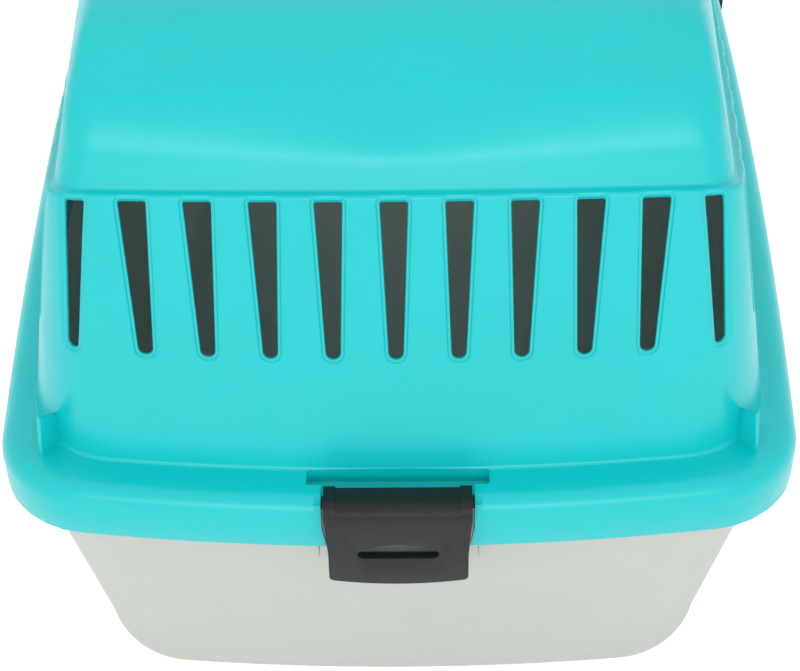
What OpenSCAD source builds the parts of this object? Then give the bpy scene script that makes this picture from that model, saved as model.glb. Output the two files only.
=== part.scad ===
/* [Overall] */
// Length over the flange, rear to front
length = 480; // [400:1:576]
// Width over the flange at mid-length
width = 320; // [267:1:384]
// Height of the flange's top above the floor
flange_z = 146; // [122:1:175]
// Height of the roof's flat above the flange's top
roof_h = 160; // [140:1:192]

/* [Walls] */
// Wall thickness of both mouldings
wall = 2.4; // [1.8:0.1:3]
// Bow of each long side, middle against ends
side_bow = 7; // [0:0.5:8]
// Bow of each end, middle against corners
end_bow = 12; // [0:0.5:14]

/* [Flange] */
// Plan radius of the flange's corners
flange_r = 42; // [32:1:50]
// Width of the flange's top along the long sides
flange_side = 13.4; // [12:0.1:18]
// Width of the flange's top at the ends
flange_end = 19; // [16:0.5:24]
// Height of the skirt below the flange's top
skirt_h = 22; // [18:0.5:26]

/* [Shoulder] */
// Height of the shoulder above the flange at the ends
shoulder_h = 117; // [98:1:140]
// How far the shoulder dips at mid-length
shoulder_dip = 35; // [15:1:45]
// Lean of the upper walls, degrees
wall_draft = 8.8; // [5:0.1:12]
// Width of the ledge between wall and dome
ledge = 4; // [3:0.5:6]

/* [Dome] */
// Lean of the dome's long sides, degrees
dome_draft = 13; // [8:0.5:16]
// Lean of the dome's end faces, degrees
brow_draft = 24; // [15:1:35]
// Slope of the roof's ends, degrees
roof_slope = 30; // [15:1:35]
// Height of the brow above the shoulder at the ends
brow_h = 24; // [18:1:32]
// Rounding between the dome's sides and the roof
dome_round = 16; // [10:1:22]
// Diameter of the two shallow dimples in the roof's rear slope
dimple_d = 14; // [10:0.5:18]

/* [Vents] */
// Slots across the rear wall
end_slots = 11; // [7:2:13]
// Distance between slots on the rear wall
end_pitch = 23; // [20:0.5:26]
// Slots along each long wall
side_slots = 18; // [10:2:20]
// Distance between slots on the long walls
side_pitch = 21.7; // [20:0.1:24]
// Width of a slot at its top
slot_top = 10; // [8:0.5:12]
// Width of a slot at its bottom
slot_foot = 5.5; // [4:0.5:7]
// Height of the slots' bottoms above the flange
slot_z = 49; // [35:1:60]

/* [Tray] */
// Lean of the tray's walls, degrees
tray_draft = 11.4; // [5:0.1:13]
// Plan radius of the tray's corners
tray_r = 34; // [28:1:44]
// Rounding along the tray's bottom edge
tray_round = 13; // [8:1:20]

/* [Latches] */
// Width of a latch
latch_w = 54; // [45:1:65]
// Height of a latch
latch_h = 41; // [36:1:48]
// Thickness of a latch's plate
latch_t = 3.2; // [2.5:0.1:3.6]
// How far a latch stands out past the flange
latch_out = 3.5; // [3:0.1:5]
// Radius of a latch's hinge stubs
latch_pin_r = 2.2; // [1.8:0.1:2.5]
// Distance of the side latches from mid-length
side_latch_y = 145; // [100:1:150]
// Width of the finger slot
finger_w = 31; // [24:1:36]

/* [Door] */
// Width of the doorway
door_w = 180; // [150:1:216]
// Height of the doorway
door_h = 192; // [165:1:200]
// Height of the doorway's sill above the floor
sill_z = 48; // [42:1:58]
// Thickness of the door
door_t = 5; // [4:0.5:6]
// Upright bars of the grille
upright_bars = 9; // [5:1:12]
// Cross bars of the grille
cross_bars = 6; // [3:1:9]
// Width of a bar
bar_w = 4; // [3:0.5:6]
// Width of the door's surround
surround = 14; // [13:0.5:18]
// Radius of the door's hinge pins
door_pin_r = 2.4; // [2:0.1:2.6]
// Travel of the door's bolts
bolt_travel = 8; // [6:0.5:10]

/* [Handle] */
// Length of the handle between its pivots
handle_len = 150; // [125:1:180]
// Reach of the handle from its pivots
handle_reach = 56; // [48:1:66]
// Width of the handle's arms
arm_w = 12; // [10:0.5:15]
// Width of the grip
grip_w = 19; // [16:0.5:23]
// Thickness of the handle
grip_t = 7.4; // [7:0.2:9]
// Radius of the handle's pivots
handle_pin_r = 3; // [2.5:0.1:3.5]

/* [Fits] */
// Radial clearance of a pin in its bore
pin_gap = 0.08; // [0.05:0.01:0.1]
// Gap between pieces that move past each other
gap = 0.4; // [0.3:0.05:0.6]

/* [Hidden] */
$fn = 48;
turquoise = "#00CFD0";
tray_grey = "#CBCFC8";
latch_grey = "#2A2C2D";

// Stations along half a side, round a corner and along half an end
side_n = 8;
corner_n = 6;
end_n = 5;
foot_r = 32;
top_r = 13;
base_r = 10;
upper_bow = end_bow * 0.66;
lean = shoulder_h * tan(wall_draft);
roof_z = flange_z + roof_h;
shoulder_z = flange_z + shoulder_h;
seam_z = flange_z - wall;
shoulder_y = length / 2 - flange_end - lean;
shoulder_r = (shoulder_y * shoulder_y + shoulder_dip * shoulder_dip) / (2 * shoulder_dip);
brow_z = shoulder_z + brow_h;
brow_y = shoulder_y - ledge - brow_h * tan(brow_draft);
roof_blend = 20;
roof_flat_y = brow_y - roof_blend / 2 - (roof_z - brow_z) / tan(roof_slope);
crown = 4;

// Height of the shoulder at a distance y from mid-length
function shoulder_at(y) = shoulder_z - shoulder_dip + shoulder_r
  - sqrt(shoulder_r * shoulder_r - min(y * y, shoulder_y * shoulder_y * 1.1));
// Height of the roof: flat, then a round bend into the sloping ends, and a slight crown across
function roof_fall(s) = s <= 0 ? 0 : s < roof_blend ? s * s / (2 * roof_blend) : s - roof_blend / 2;
function roof_at(x, y) = roof_z - roof_fall(abs(y) - roof_flat_y) * tan(roof_slope)
  - crown * pow(2 * x / width, 2);

// One quarter turn of a corner, without its two ends
function turn(cx, cy, r, a0) = [for (i = [1:corner_n - 1])
  [cx + r * cos(a0 + 90 * i / corner_n), cy + r * sin(a0 + 90 * i / corner_n)]];
// A rounded oblong set in from the flange's edge by ix and iy, its sides and ends bowed
function bowed(p, hx, hy, sb, eb) = [p[0] * (1 - sb * pow(2 * p[1] / length, 2) / hx),
  p[1] * (1 - eb * pow(2 * p[0] / width, 2) / hy)];
function plan(ix, iy, r, sb = side_bow, eb = end_bow) =
  let (hx = width / 2 - ix, hy = length / 2 - iy, cx = hx - r, cy = hy - r,
    flat = concat(
      [for (i = [-side_n:side_n]) [hx, cy * i / side_n]], turn(cx, cy, r, 0),
      [for (i = [-end_n:end_n]) [-cx * i / end_n, hy]], turn(-cx, cy, r, 90),
      [for (i = [-side_n:side_n]) [-hx, -cy * i / side_n]], turn(-cx, -cy, r, 180),
      [for (i = [-end_n:end_n]) [cx * i / end_n, -hy]], turn(cx, -cy, r, 270)))
  [for (p = flat) bowed(p, hx, hy, sb, eb)];
function at(loop, z) = [for (p = loop) [p[0], p[1], z]];
function mix(a, b, t) = a + (b - a) * t;
function arc_pts(cx, cy, r, a0, a1, n = 8) = [for (i = [0:n]) let (a = a0 + (a1 - a0) * i / n)
  [cx + r * cos(a), cy + r * sin(a)]];
function back(v) = [for (i = [len(v) - 1:-1:0]) v[i]];

// A closed skin through loops of equal length: up the outside, or down the inside and up the outside
module skin(loops) {
  n = len(loops[0]);
  m = len(loops);
  polyhedron(
    points = [for (l = loops) each l],
    faces = concat(
      [[for (i = [0:n - 1]) i]],
      [for (k = [0:m - 2], i = [0:n - 1]) let (j = (i + 1) % n)
        each [[k * n + i, (k + 1) * n + j, k * n + j], [k * n + i, (k + 1) * n + i, (k + 1) * n + j]]],
      [[for (i = [n - 1:-1:0]) (m - 1) * n + i]]),
    convexity = 10);
}

// Wall, ledge, dome and roof, grown inwards by t
function shell_loops(t) =
  let (
    foot = plan(flange_side + t, flange_end + t, foot_r - t),
    top = plan(flange_side + lean + t, flange_end + lean + t, top_r - t / 2, side_bow, upper_bow),
    base_in = lean + ledge + t,
    base = plan(flange_side + base_in, flange_end + base_in, base_r - t / 2, side_bow, upper_bow),
    edge = plan(flange_side + base_in + brow_h * tan(dome_draft), flange_end + base_in + brow_h * tan(brow_draft),
      base_r + 2, side_bow, upper_bow),
    n = len(foot),
    sz = [for (p = top) shoulder_at(p[1])],
    wall_p = function (i, z) let (q = mix(foot[i], top[i], (z - flange_z) / shoulder_h)) [q[0], q[1], z],
    dome_p = function (i, z) let (q = mix(base[i], edge[i], (z - shoulder_z) / brow_h)) [q[0], q[1], z],
    rz = [for (p = edge) roof_at(p[0], p[1])],
    fall = [for (i = [0:n - 1]) min(dome_round, (rz[i] - sz[i]) * 0.6)],
    rim = [for (i = [0:n - 1]) dome_p(i, rz[i] - fall[i])],
    arc = function (a) [for (i = [0:n - 1]) let (
        k = 1 - fall[i] * (1 - cos(a)) / (abs(rim[i][0]) + abs(rim[i][1]) / 2),
        x = rim[i][0] * k, y = rim[i][1] * k)
      [x, y, mix(rim[i][2], roof_at(x, y), sin(a)) - t]])
  concat(
    [[for (i = [0:n - 1]) wall_p(i, flange_z + 2.5 - t)],
     [for (i = [0:n - 1]) wall_p(i, sz[i] - 3 - t)],
     [for (i = [0:n - 1]) let (a = wall_p(i, sz[i] - 0.9 - t), b = dome_p(i, sz[i])) mix(a, [b[0], b[1], a[2]], 0.2)],
     [for (i = [0:n - 1]) mix(wall_p(i, sz[i] - t), dome_p(i, sz[i] - t), 0.7)],
     [for (i = [0:n - 1]) dome_p(i, sz[i] + 0.6 - t)],
     [for (i = [0:n - 1]) dome_p(i, mix(sz[i], rim[i][2], 0.5)) - [0, 0, t]],
     [for (p = rim) p - [0, 0, t]]],
    [for (a = [30, 60, 90]) arc(a)],
    [for (k = t > 0 ? [0.7, 0.3, 0.05] : [0.85, 0.65, 0.45, 0.25, 0.05]) [for (p = arc(90))
      [p[0] * k, p[1] * k, roof_at(p[0] * k, p[1] * k) - t]]]);

module shell_skin() {
  skin(concat(
    back(concat(
      [at(plan(1.2 + wall, 1.2 + wall, flange_r - wall), flange_z - skirt_h),
       at(plan(wall, wall, flange_r - wall), seam_z - 3),
       at(plan(wall + 3, wall + 3, flange_r - wall - 3), seam_z),
       at(plan(flange_side + wall - 1, flange_end + wall - 1, foot_r - 1), seam_z)],
      shell_loops(wall))),
    [at(plan(1.2, 1.2, flange_r - 1), flange_z - skirt_h),
     at(plan(0, 0, flange_r), flange_z - 5),
     at(plan(1.5, 1.5, flange_r - 1), flange_z - 1.5),
     at(plan(5, 5, flange_r - 4), flange_z),
     at(plan(flange_side - 2.5, flange_end - 2.5, foot_r + 2), flange_z)],
    shell_loops(0)));
}

// Vents: flat at the top, tapering to a round foot
module slot(h) {
  r = 1.2;
  polygon(concat(
    arc_pts(0, slot_foot / 2, slot_foot / 2, 180, 360, 6),
    arc_pts(slot_top / 2 - r, h - r, r, 0, 90, 2),
    arc_pts(r - slot_top / 2, h - r, r, 90, 180, 2)));
}
slot_drop = 1.7;
module side_slots() {
  for (k = [0:side_slots - 1]) let (y = (k - (side_slots - 1) / 2) * side_pitch)
    translate([0, y, flange_z + slot_z]) rotate([90, 0, 90])
      linear_extrude(width, center = true) slot(shoulder_at(y) - slot_drop - flange_z - slot_z);
}
// The outermost end slots sit on the rounded corners and face partly sideways
corner_slot_turn = 28;
corner_slot_in = 1.2;
module rear_slots() {
  half = (end_slots - 1) / 2;
  for (k = [-half:half]) {
    outer = abs(k) == half;
    translate([k * end_pitch - (outer ? sign(k) * corner_slot_in : 0), 8 - shoulder_y, flange_z + slot_z])
      rotate([0, 0, outer ? sign(k) * corner_slot_turn : 0]) rotate([90, 0, 0])
        linear_extrude(50) slot(shoulder_z - slot_drop - flange_z - slot_z);
  }
}

// Latch seats: rear, then left and right near the front. Local +Y runs inwards from the flange's
// edge, and z is 0 at the flange's top
side_latch_x = width / 2 - side_bow * pow(2 * side_latch_y / length, 2);
side_latch_turn = atan(8 * side_bow * side_latch_y / (length * length));
module at_latch(k) {
  if (k == 0) translate([0, -length / 2, flange_z]) children();
  if (k == 1) translate([-side_latch_x, side_latch_y, flange_z])
    rotate([0, 0, -90 - side_latch_turn]) children();
  if (k == 2) translate([side_latch_x, side_latch_y, flange_z])
    rotate([0, 0, 90 + side_latch_turn]) children();
}
latch_room = 1.5;
latch_axis_y = 5;
latch_axis_z = -3.4;
latch_top = 1.5;
notch_y = 11.8;
cheek_t = 2.8;
cheek_drop = 12;
seat_half = latch_w / 2 + latch_room;
// How much narrower the latches and their notches are at the skirt's foot, each side
latch_taper = 1.7;
catch_z = -28.6;
catch_y = 3.5;
catch_t = 2;
rib_half = latch_w / 2 + 5;
rib_t = 2;
toe_y = 5;

module latch_notch() {
  foot_half = seat_half - latch_taper;
  translate([0, notch_y, 0]) rotate([90, 0, 0]) linear_extrude(10 + notch_y)
    polygon([[-seat_half, 15], [-seat_half, -cheek_drop], [-foot_half, -skirt_h], [-foot_half, -skirt_h - 5],
      [foot_half, -skirt_h - 5], [foot_half, -skirt_h], [seat_half, -cheek_drop], [seat_half, 15]]);
  for (s = [-1, 1]) translate([s * (seat_half + cheek_t / 2), latch_axis_y, latch_axis_z])
    rotate([0, 90, 0]) cylinder(r = latch_pin_r + pin_gap, h = cheek_t + 2, center = true);
}
module latch_cheeks() {
  for (s = [0, 1]) mirror([s, 0, 0]) translate([seat_half, 1.5, -cheek_drop])
    cube([cheek_t, notch_y - 1.7, cheek_drop - 1]);
}
pocket_half = 34;
pocket_d = 2.2;

// Door surround, shared by tray and shell: a flat frame that stands out of both sloping end walls
face_y = length / 2 - 5;
lug_y = length / 2 + latch_out;
frame_half = door_w / 2 + surround;
frame_low = sill_z - surround;
frame_top = sill_z + door_h + surround;
surround_t = 3;
door_lap = 4;
door_half = door_w / 2 + door_lap;
door_low = sill_z - door_lap;
door_top = sill_z + door_h + door_lap;
knuckle_r = 4;
hinge_x = -door_half - 2.5;
hinge_y = lug_y - knuckle_r;
lug_z = surround - door_lap - 1;
keeper_x = door_half - 8;
bolt_w = 8;
bolt_t = 3.6;

// Mid-thickness of the front wall where the surround's sides meet it
function front_bow(b) = b * pow(2 * (frame_half - 6) / width, 2);
function shell_front(z) = length / 2 - flange_end - wall / 2 - (z - flange_z) * tan(wall_draft)
  - front_bow(mix(end_bow, upper_bow, (z - flange_z) / shoulder_h));
function tray_front(z) = length / 2 - tray_in(z) - wall / 2 - front_bow(tray_bow_end);
module surround_box(zs, fronts) {
  n = len(zs);
  rotate([90, 0, 90]) linear_extrude(2 * frame_half, center = true)
    polygon(concat([[face_y, zs[0]]], [for (i = [0:n - 1]) [fronts[i], zs[i]]], [[face_y, zs[n - 1]]]));
}
module surround_hollow(z0, z1) {
  translate([surround_t - frame_half, face_y - 60, z0])
    cube([2 * (frame_half - surround_t), 60 - surround_t, z1 - z0]);
}
module front_cuts(z0, z1) {
  // doorway
  translate([-door_w / 2, face_y - 20, z0]) cube([door_w, 40, z1 - z0]);
  // everything past the surround's face
  translate([-frame_half - 0.2, face_y, frame_low - 1])
    cube([2 * frame_half + 0.4, 20, frame_top - frame_low + 2]);
}
module door_lug(z) {
  translate([hinge_x - knuckle_r, face_y - 1, z]) cube([2 * knuckle_r, lug_y - face_y + 1, lug_z - gap]);
}
module door_lug_bore(z) {
  translate([hinge_x, hinge_y, z - 1]) cylinder(r = door_pin_r + pin_gap, h = lug_z + 2);
}
module keeper(z) {
  translate([keeper_x - bolt_w / 2 - 3, face_y - 1, z]) cube([bolt_w + 6, lug_y - face_y + 1, lug_z - gap]);
}
module keeper_bore(z) {
  translate([keeper_x - bolt_w / 2 - gap, bolt_y - gap, z - 1]) cube([bolt_w + 2 * gap, bolt_t + 2 * gap, lug_z + 2]);
}
door_y = face_y + gap;
bolt_y = door_y + door_t - bolt_t - 0.2;

// Handle lugs on the roof
lug_r = 5.2;
lug_w = 6;
handle_axis_z = roof_z + grip_t / 2 + 0.5;
module handle_lugs() {
  for (s = [-1, 1]) translate([0, s * (handle_len / 2 + lug_w / 2), 0]) {
    translate([0, 0, handle_axis_z]) rotate([90, 0, 0]) cylinder(r = lug_r, h = lug_w, center = true);
    translate([-lug_r, -lug_w / 2, roof_z - 1]) cube([2 * lug_r, lug_w, handle_axis_z - roof_z + 1]);
  }
}
module handle_bores() {
  for (s = [-1, 1]) translate([0, s * (handle_len / 2 + lug_w / 2), handle_axis_z])
    rotate([90, 0, 0]) cylinder(r = handle_pin_r + pin_gap, h = lug_w + 2, center = true);
}

// Dimples and corner blocks
dimple_x = 78;
dimple_y = brow_y - 23.5;
dimple_depth = 1.3;
dimple_r = (pow(dimple_d / 2, 2) + pow(dimple_depth, 2)) / (2 * dimple_depth);
block_h = 20;
block_w = 7;
block_l = 13.5;
block_out = [3.8, 9.4];
foot_corner = plan(flange_side, flange_end, foot_r)[2 * side_n + 1 + corner_n / 2 - 1];
module corner_blocks() {
  for (x = [0, 1], y = [0, 1]) mirror([x, 0, 0]) mirror([0, y, 0])
    translate([foot_corner[0] + block_out[0] - block_w, foot_corner[1] + block_out[1] - block_l, flange_z - 1])
      cube([block_w, block_l, block_h + 1]);
}

module upper_shell() {
  color(turquoise) difference() {
    union() {
      shell_skin();
      corner_blocks();
      handle_lugs();
      for (k = [0:2]) at_latch(k) latch_cheeks();
      at_latch(0) translate([-pocket_half, notch_y, -pocket_d - wall])
        cube([2 * pocket_half, flange_end - notch_y + wall, wall]);
      surround_box([seam_z, frame_top], [shell_front(seam_z), shell_front(frame_top)]);
    }
    side_slots();
    rear_slots();
    for (k = [0:2]) at_latch(k) latch_notch();
    at_latch(0) translate([-pocket_half, latch_axis_y, -pocket_d])
      cube([2 * pocket_half, flange_end + 1.2 - latch_axis_y, pocket_d + 1]);
    handle_bores();
    surround_hollow(seam_z - 1, frame_top - surround_t);
    front_cuts(seam_z - 1, sill_z + door_h);
    // the tray's part of the surround passes inside the skirt
    translate([-frame_half - gap, face_y - 60, flange_z - skirt_h - 1])
      cube([2 * (frame_half + gap), 80, skirt_h + 1 - wall]);
    for (s = [-1, 1]) translate([s * dimple_x, -dimple_y, roof_at(dimple_x, dimple_y)])
      rotate([roof_slope, 0, 0]) translate([0, 0, dimple_r - dimple_depth]) sphere(dimple_r);
  }
  color(turquoise) difference() {
    union() {
      door_lug(door_top + 1);
      keeper(door_top + 1);
    }
    door_lug_bore(door_top + 1);
    keeper_bore(door_top + 1);
  }
}

// Tray: leaning walls, rounded bottom edge, rim that carries the upper half
rim_in = 4.6;
rim_h = 6;
tray_top_in = 8.4;
tray_bow_side = 1;
tray_bow_end = 14;
// Behind the skirt the tray's wall stands straight
straight_z = flange_z - skirt_h - 12;
function tray_in(z) = tray_top_in + (seam_z - min(z, straight_z)) * tan(tray_draft);
function tray_plan(z, t = 0) = plan(tray_in(z) + t, tray_in(z) + t, tray_r - t, tray_bow_side, tray_bow_end);
function tray_bend(a, t) = let (z = tray_round * (1 - sin(a)), in = tray_round * (1 - cos(a)),
    d = tray_in(tray_round) + in + t * cos(a))
  at(plan(d, d, max(tray_r - in - t, 5), tray_bow_side, tray_bow_end), z + t * sin(a));
module tray_skin() {
  rim_r = 38;
  skin(concat(
    [for (a = [90, 67.5, 45, 22.5, 0]) tray_bend(a, 0)],
    [at(tray_plan(straight_z), straight_z),
     at(tray_plan(seam_z), seam_z - rim_h),
     at(plan(rim_in + 0.6, rim_in + 0.6, rim_r), seam_z - rim_h),
     at(plan(rim_in, rim_in, rim_r), seam_z - 1),
     at(plan(rim_in + 1, rim_in + 1, rim_r - 1), seam_z),
     at(tray_plan(seam_z, wall), seam_z),
     at(tray_plan(straight_z, wall), straight_z)],
    [for (a = [0, 22.5, 45, 67.5, 90]) tray_bend(a, wall)]));
}
// Catches reach back into the tray's wall
catch_end = [tray_in(seam_z) + wall / 2, tray_in(seam_z) + wall / 2 - (width / 2 - side_latch_x) + 0.3];
module latch_catch(reach) {
  rib_z = catch_z - catch_t - 1.4;
  for (s = [0, 1]) mirror([s, 0, 0]) translate([rib_half, catch_y, rib_z])
    cube([rib_t, reach - catch_y, -skirt_h - 0.8 - rib_z]);
  translate([-rib_half - 1, catch_y, catch_z - catch_t]) cube([2 * rib_half + 2, reach - catch_y, catch_t]);
}
module lower_tray() {
  low_lug = door_low - 1 - lug_z + gap;
  color(tray_grey) difference() {
    union() {
      tray_skin();
      for (k = [0:2]) at_latch(k) latch_catch(catch_end[min(k, 1)]);
      surround_box([frame_low, straight_z, seam_z],
        [tray_front(frame_low), tray_front(straight_z), tray_front(seam_z)]);
    }
    for (k = [0:2]) at_latch(k) translate([-seat_half - cheek_t - gap, -10, -cheek_drop - gap])
      cube([2 * (seat_half + cheek_t + gap), 10 + notch_y + 0.1, cheek_drop + gap + 5]);
    at_latch(0) translate([-pocket_half - gap, -10, -pocket_d - wall])
      cube([2 * (pocket_half + gap), 10 + flange_end + 10, 10]);
    surround_hollow(frame_low + surround_t, seam_z + 1);
    front_cuts(sill_z, seam_z + 1);
  }
  color(tray_grey) difference() {
    union() {
      door_lug(low_lug);
      keeper(low_lug);
    }
    door_lug_bore(low_lug);
    keeper_bore(low_lug);
  }
}

// Latch: a bent plate with hinge stubs at its top, a toe that hooks under the tray's catch, a finger slot
latch_bend = 6;
latch_back = 9.2;
toe_top = catch_z - catch_t - gap;
toe_t = 2.4;
latch_foot = latch_top - latch_h;
module latch_side() {
  polygon(concat(
    [[latch_back, latch_top - latch_t], [latch_back, latch_top]],
    arc_pts(latch_bend - latch_out, latch_top - latch_bend, latch_bend, 90, 180),
    [[-latch_out, latch_foot], [-latch_out + latch_t * 0.7, latch_foot],
     [-latch_out + latch_t, latch_foot + 2], [-latch_out + latch_t, toe_top - toe_t],
     [toe_y - 1.5, toe_top - toe_t], [toe_y, toe_top - 1], [toe_y, toe_top], [-latch_out + latch_t, toe_top]],
    arc_pts(latch_bend - latch_out, latch_top - latch_bend, latch_bend - latch_t, 180, 90)));
}
latch_corner = 2.4;
latch_foot_bow = 2.4;
module latch_front() {
  foot_half = latch_w / 2 - latch_taper;
  bow_r = (foot_half * foot_half + latch_foot_bow * latch_foot_bow) / (2 * latch_foot_bow);
  intersection() {
    polygon([[-latch_w / 2, latch_top + 1], [-latch_w / 2, latch_axis_z], [-foot_half, -skirt_h],
      [-foot_half, latch_foot - 1], [foot_half, latch_foot - 1], [foot_half, -skirt_h],
      [latch_w / 2, latch_axis_z], [latch_w / 2, latch_top + 1]]);
    translate([0, latch_foot + bow_r]) circle(bow_r, $fn = 200);
  }
}
module finger_slot() {
  r = 2.6;
  rise = 2.6;
  arch = (pow(finger_w / 2 - r, 2) + rise * rise) / (2 * rise);
  square([finger_w - 2 * r, 2 * r], center = true);
  for (s = [-1, 1]) translate([s * (finger_w / 2 - r), 0]) circle(r);
  intersection() {
    translate([0, r + rise - arch - 0.3]) circle(arch, $fn = 160);
    translate([0, r + 1]) square([finger_w - r, 2 * r], center = true);
  }
}
finger_z = -22.5;
module latch() {
  color(latch_grey) difference() {
    union() {
      intersection() {
        rotate([90, 0, 90]) linear_extrude(latch_w, center = true) latch_side();
        translate([0, 20, 0]) rotate([90, 0, 0]) linear_extrude(40) latch_front();
      }
      translate([0, latch_axis_y, latch_axis_z]) rotate([0, 90, 0]) {
        cylinder(r = 3.4, h = latch_w, center = true);
        cylinder(r = latch_pin_r, h = latch_w + 2 * latch_room + 2 * cheek_t - 0.6, center = true);
      }
    }
    translate([0, 0, finger_z]) rotate([90, 0, 0]) linear_extrude(10, center = true) finger_slot();
  }
}
module rear_latch() { at_latch(0) latch(); }
module left_latch() { at_latch(1) latch(); }
module right_latch() { at_latch(2) latch(); }

// Door: a frame with a grille, hinge pins on its left stile, bolts in its right stile
stile = 9;
bolt_stile = 15;
channel_gap = 0.3;
bolt_gap_half = 8;
bolt_mid_z = sill_z + door_h / 2;
module door_grille() {
  inner_w = 2 * door_half - stile - bolt_stile;
  inner_h = door_top - door_low - 2 * stile;
  bar_y = door_y + 0.8;
  bar_t = door_t - 1.6;
  color(latch_grey) difference() {
    union() {
      difference() {
        translate([-door_half, door_y, door_low]) cube([2 * door_half, door_t, door_top - door_low]);
        translate([-door_half + stile, door_y - 1, door_low + stile]) cube([inner_w, door_t + 2, inner_h]);
      }
      for (i = [1:upright_bars]) translate([-door_half + stile + inner_w * i / (upright_bars + 1) - bar_w / 2,
        bar_y, door_low + stile - 1]) cube([bar_w, bar_t, inner_h + 2]);
      for (i = [1:cross_bars]) translate([-door_half + stile - 1,
        bar_y, door_low + stile + inner_h * i / (cross_bars + 1) - bar_w / 2]) cube([inner_w + 2, bar_t, bar_w]);
      for (z = [door_low, door_top - 14]) translate([hinge_x, hinge_y, z]) {
        cylinder(r = knuckle_r, h = 14);
        translate([0, -knuckle_r, 0]) cube([5, knuckle_r + door_y + door_t - hinge_y, 14]);
      }
      translate([hinge_x, hinge_y, door_top - 1]) cylinder(r = door_pin_r, h = lug_z);
      translate([hinge_x, hinge_y, door_low - lug_z + 1]) cylinder(r = door_pin_r, h = lug_z);
    }
    translate([keeper_x - bolt_w / 2 - channel_gap, bolt_y - channel_gap, door_low - 1])
      cube([bolt_w + 2 * channel_gap, 10, door_top - door_low + 2]);
  }
}
cover_t = 1;
cover_half = 46;
tab_t = lug_y - (door_y + door_t);
module bolt(up) {
  len_z = door_top - 0.5 - bolt_mid_z - bolt_gap_half;
  color(latch_grey) translate([keeper_x, 0, bolt_mid_z]) mirror([0, 0, up ? 0 : 1]) {
    translate([-bolt_w / 2, bolt_y, bolt_gap_half]) cube([bolt_w, bolt_t, len_z]);
    translate([-3, bolt_y + bolt_t - 0.5, bolt_gap_half + 4]) cube([6, lug_y - bolt_y - bolt_t + 0.5, 10]);
  }
}
module upper_bolt() { bolt(true); }
module lower_bolt() { bolt(false); }
module bolt_cover() {
  color(latch_grey) difference() {
    translate([keeper_x - 7, door_y + door_t, bolt_mid_z - cover_half]) cube([14, cover_t, 2 * cover_half]);
    for (s = [0, 1]) translate([0, 0, bolt_mid_z]) mirror([0, 0, s])
      translate([keeper_x - 3 - gap, door_y, bolt_gap_half + 4 - gap])
        cube([6 + 2 * gap, 20, 10 + bolt_travel + 2 * gap]);
  }
}

// Carrying handle: two arms and a wider grip, lying on the roof and folding up about its stubs
bend_r = 14;
module grip_profile() {
  square([grip_w - grip_t, grip_t], center = true);
  for (s = [-1, 1]) translate([s * (grip_w - grip_t) / 2, 0]) circle(grip_t / 2);
}
module bail_plan(half, reach, r) {
  translate([0, -half]) square([reach - r, 2 * half]);
  translate([reach - r - 1, r - half]) square([r + 1, 2 * (half - r)]);
  for (s = [-1, 1]) translate([reach - r, s * (half - r)]) circle(r);
}
module carry_handle() {
  bail_half = handle_len / 2 - gap;
  bar_x = handle_reach - grip_w / 2;
  color(latch_grey) translate([0, 0, handle_axis_z]) {
    linear_extrude(grip_t, center = true) difference() {
      bail_plan(bail_half, bar_x + arm_w / 2, bend_r + arm_w / 2);
      translate([-1, 0]) bail_plan(bail_half - arm_w, bar_x - arm_w / 2 + 1, bend_r - arm_w / 2);
    }
    translate([bar_x, 0, 0]) rotate([90, 0, 0])
      linear_extrude(2 * (bail_half - arm_w - 8), center = true) grip_profile();
    for (s = [-1, 1]) translate([0, s * (bail_half - arm_w / 2), 0]) rotate([90, 0, 0])
      cylinder(r = grip_t / 2, h = arm_w, center = true);
    for (s = [-1, 1]) translate([0, s * (bail_half + lug_w / 2 - 0.5), 0]) rotate([90, 0, 0])
      cylinder(r = handle_pin_r, h = lug_w, center = true);
  }
}

lower_tray();
upper_shell();
rear_latch();
left_latch();
right_latch();
door_grille();
upper_bolt();
lower_bolt();
bolt_cover();
carry_handle();
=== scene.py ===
import math
import bmesh
import bpy
import numpy as np
from mathutils import Matrix, Vector


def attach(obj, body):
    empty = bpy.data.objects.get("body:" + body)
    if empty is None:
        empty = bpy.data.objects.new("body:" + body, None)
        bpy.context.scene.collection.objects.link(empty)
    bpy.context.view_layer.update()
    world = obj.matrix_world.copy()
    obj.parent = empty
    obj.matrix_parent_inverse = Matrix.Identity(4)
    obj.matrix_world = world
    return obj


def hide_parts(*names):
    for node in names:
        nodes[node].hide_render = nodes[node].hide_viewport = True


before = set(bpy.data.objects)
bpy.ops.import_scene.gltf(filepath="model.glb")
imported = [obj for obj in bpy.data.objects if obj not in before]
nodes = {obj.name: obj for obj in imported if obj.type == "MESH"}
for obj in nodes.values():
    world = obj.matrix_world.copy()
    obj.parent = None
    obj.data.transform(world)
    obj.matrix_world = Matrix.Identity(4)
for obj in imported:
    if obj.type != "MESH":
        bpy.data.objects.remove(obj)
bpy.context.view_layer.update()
mm = 0.001

# view from behind and above, as the photo has it
view = {"place": (10.0, -769.4, 710.7), "down": 42.13, "turn": -0.87, "roll": -0.98, "lens": 93.3}


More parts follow.
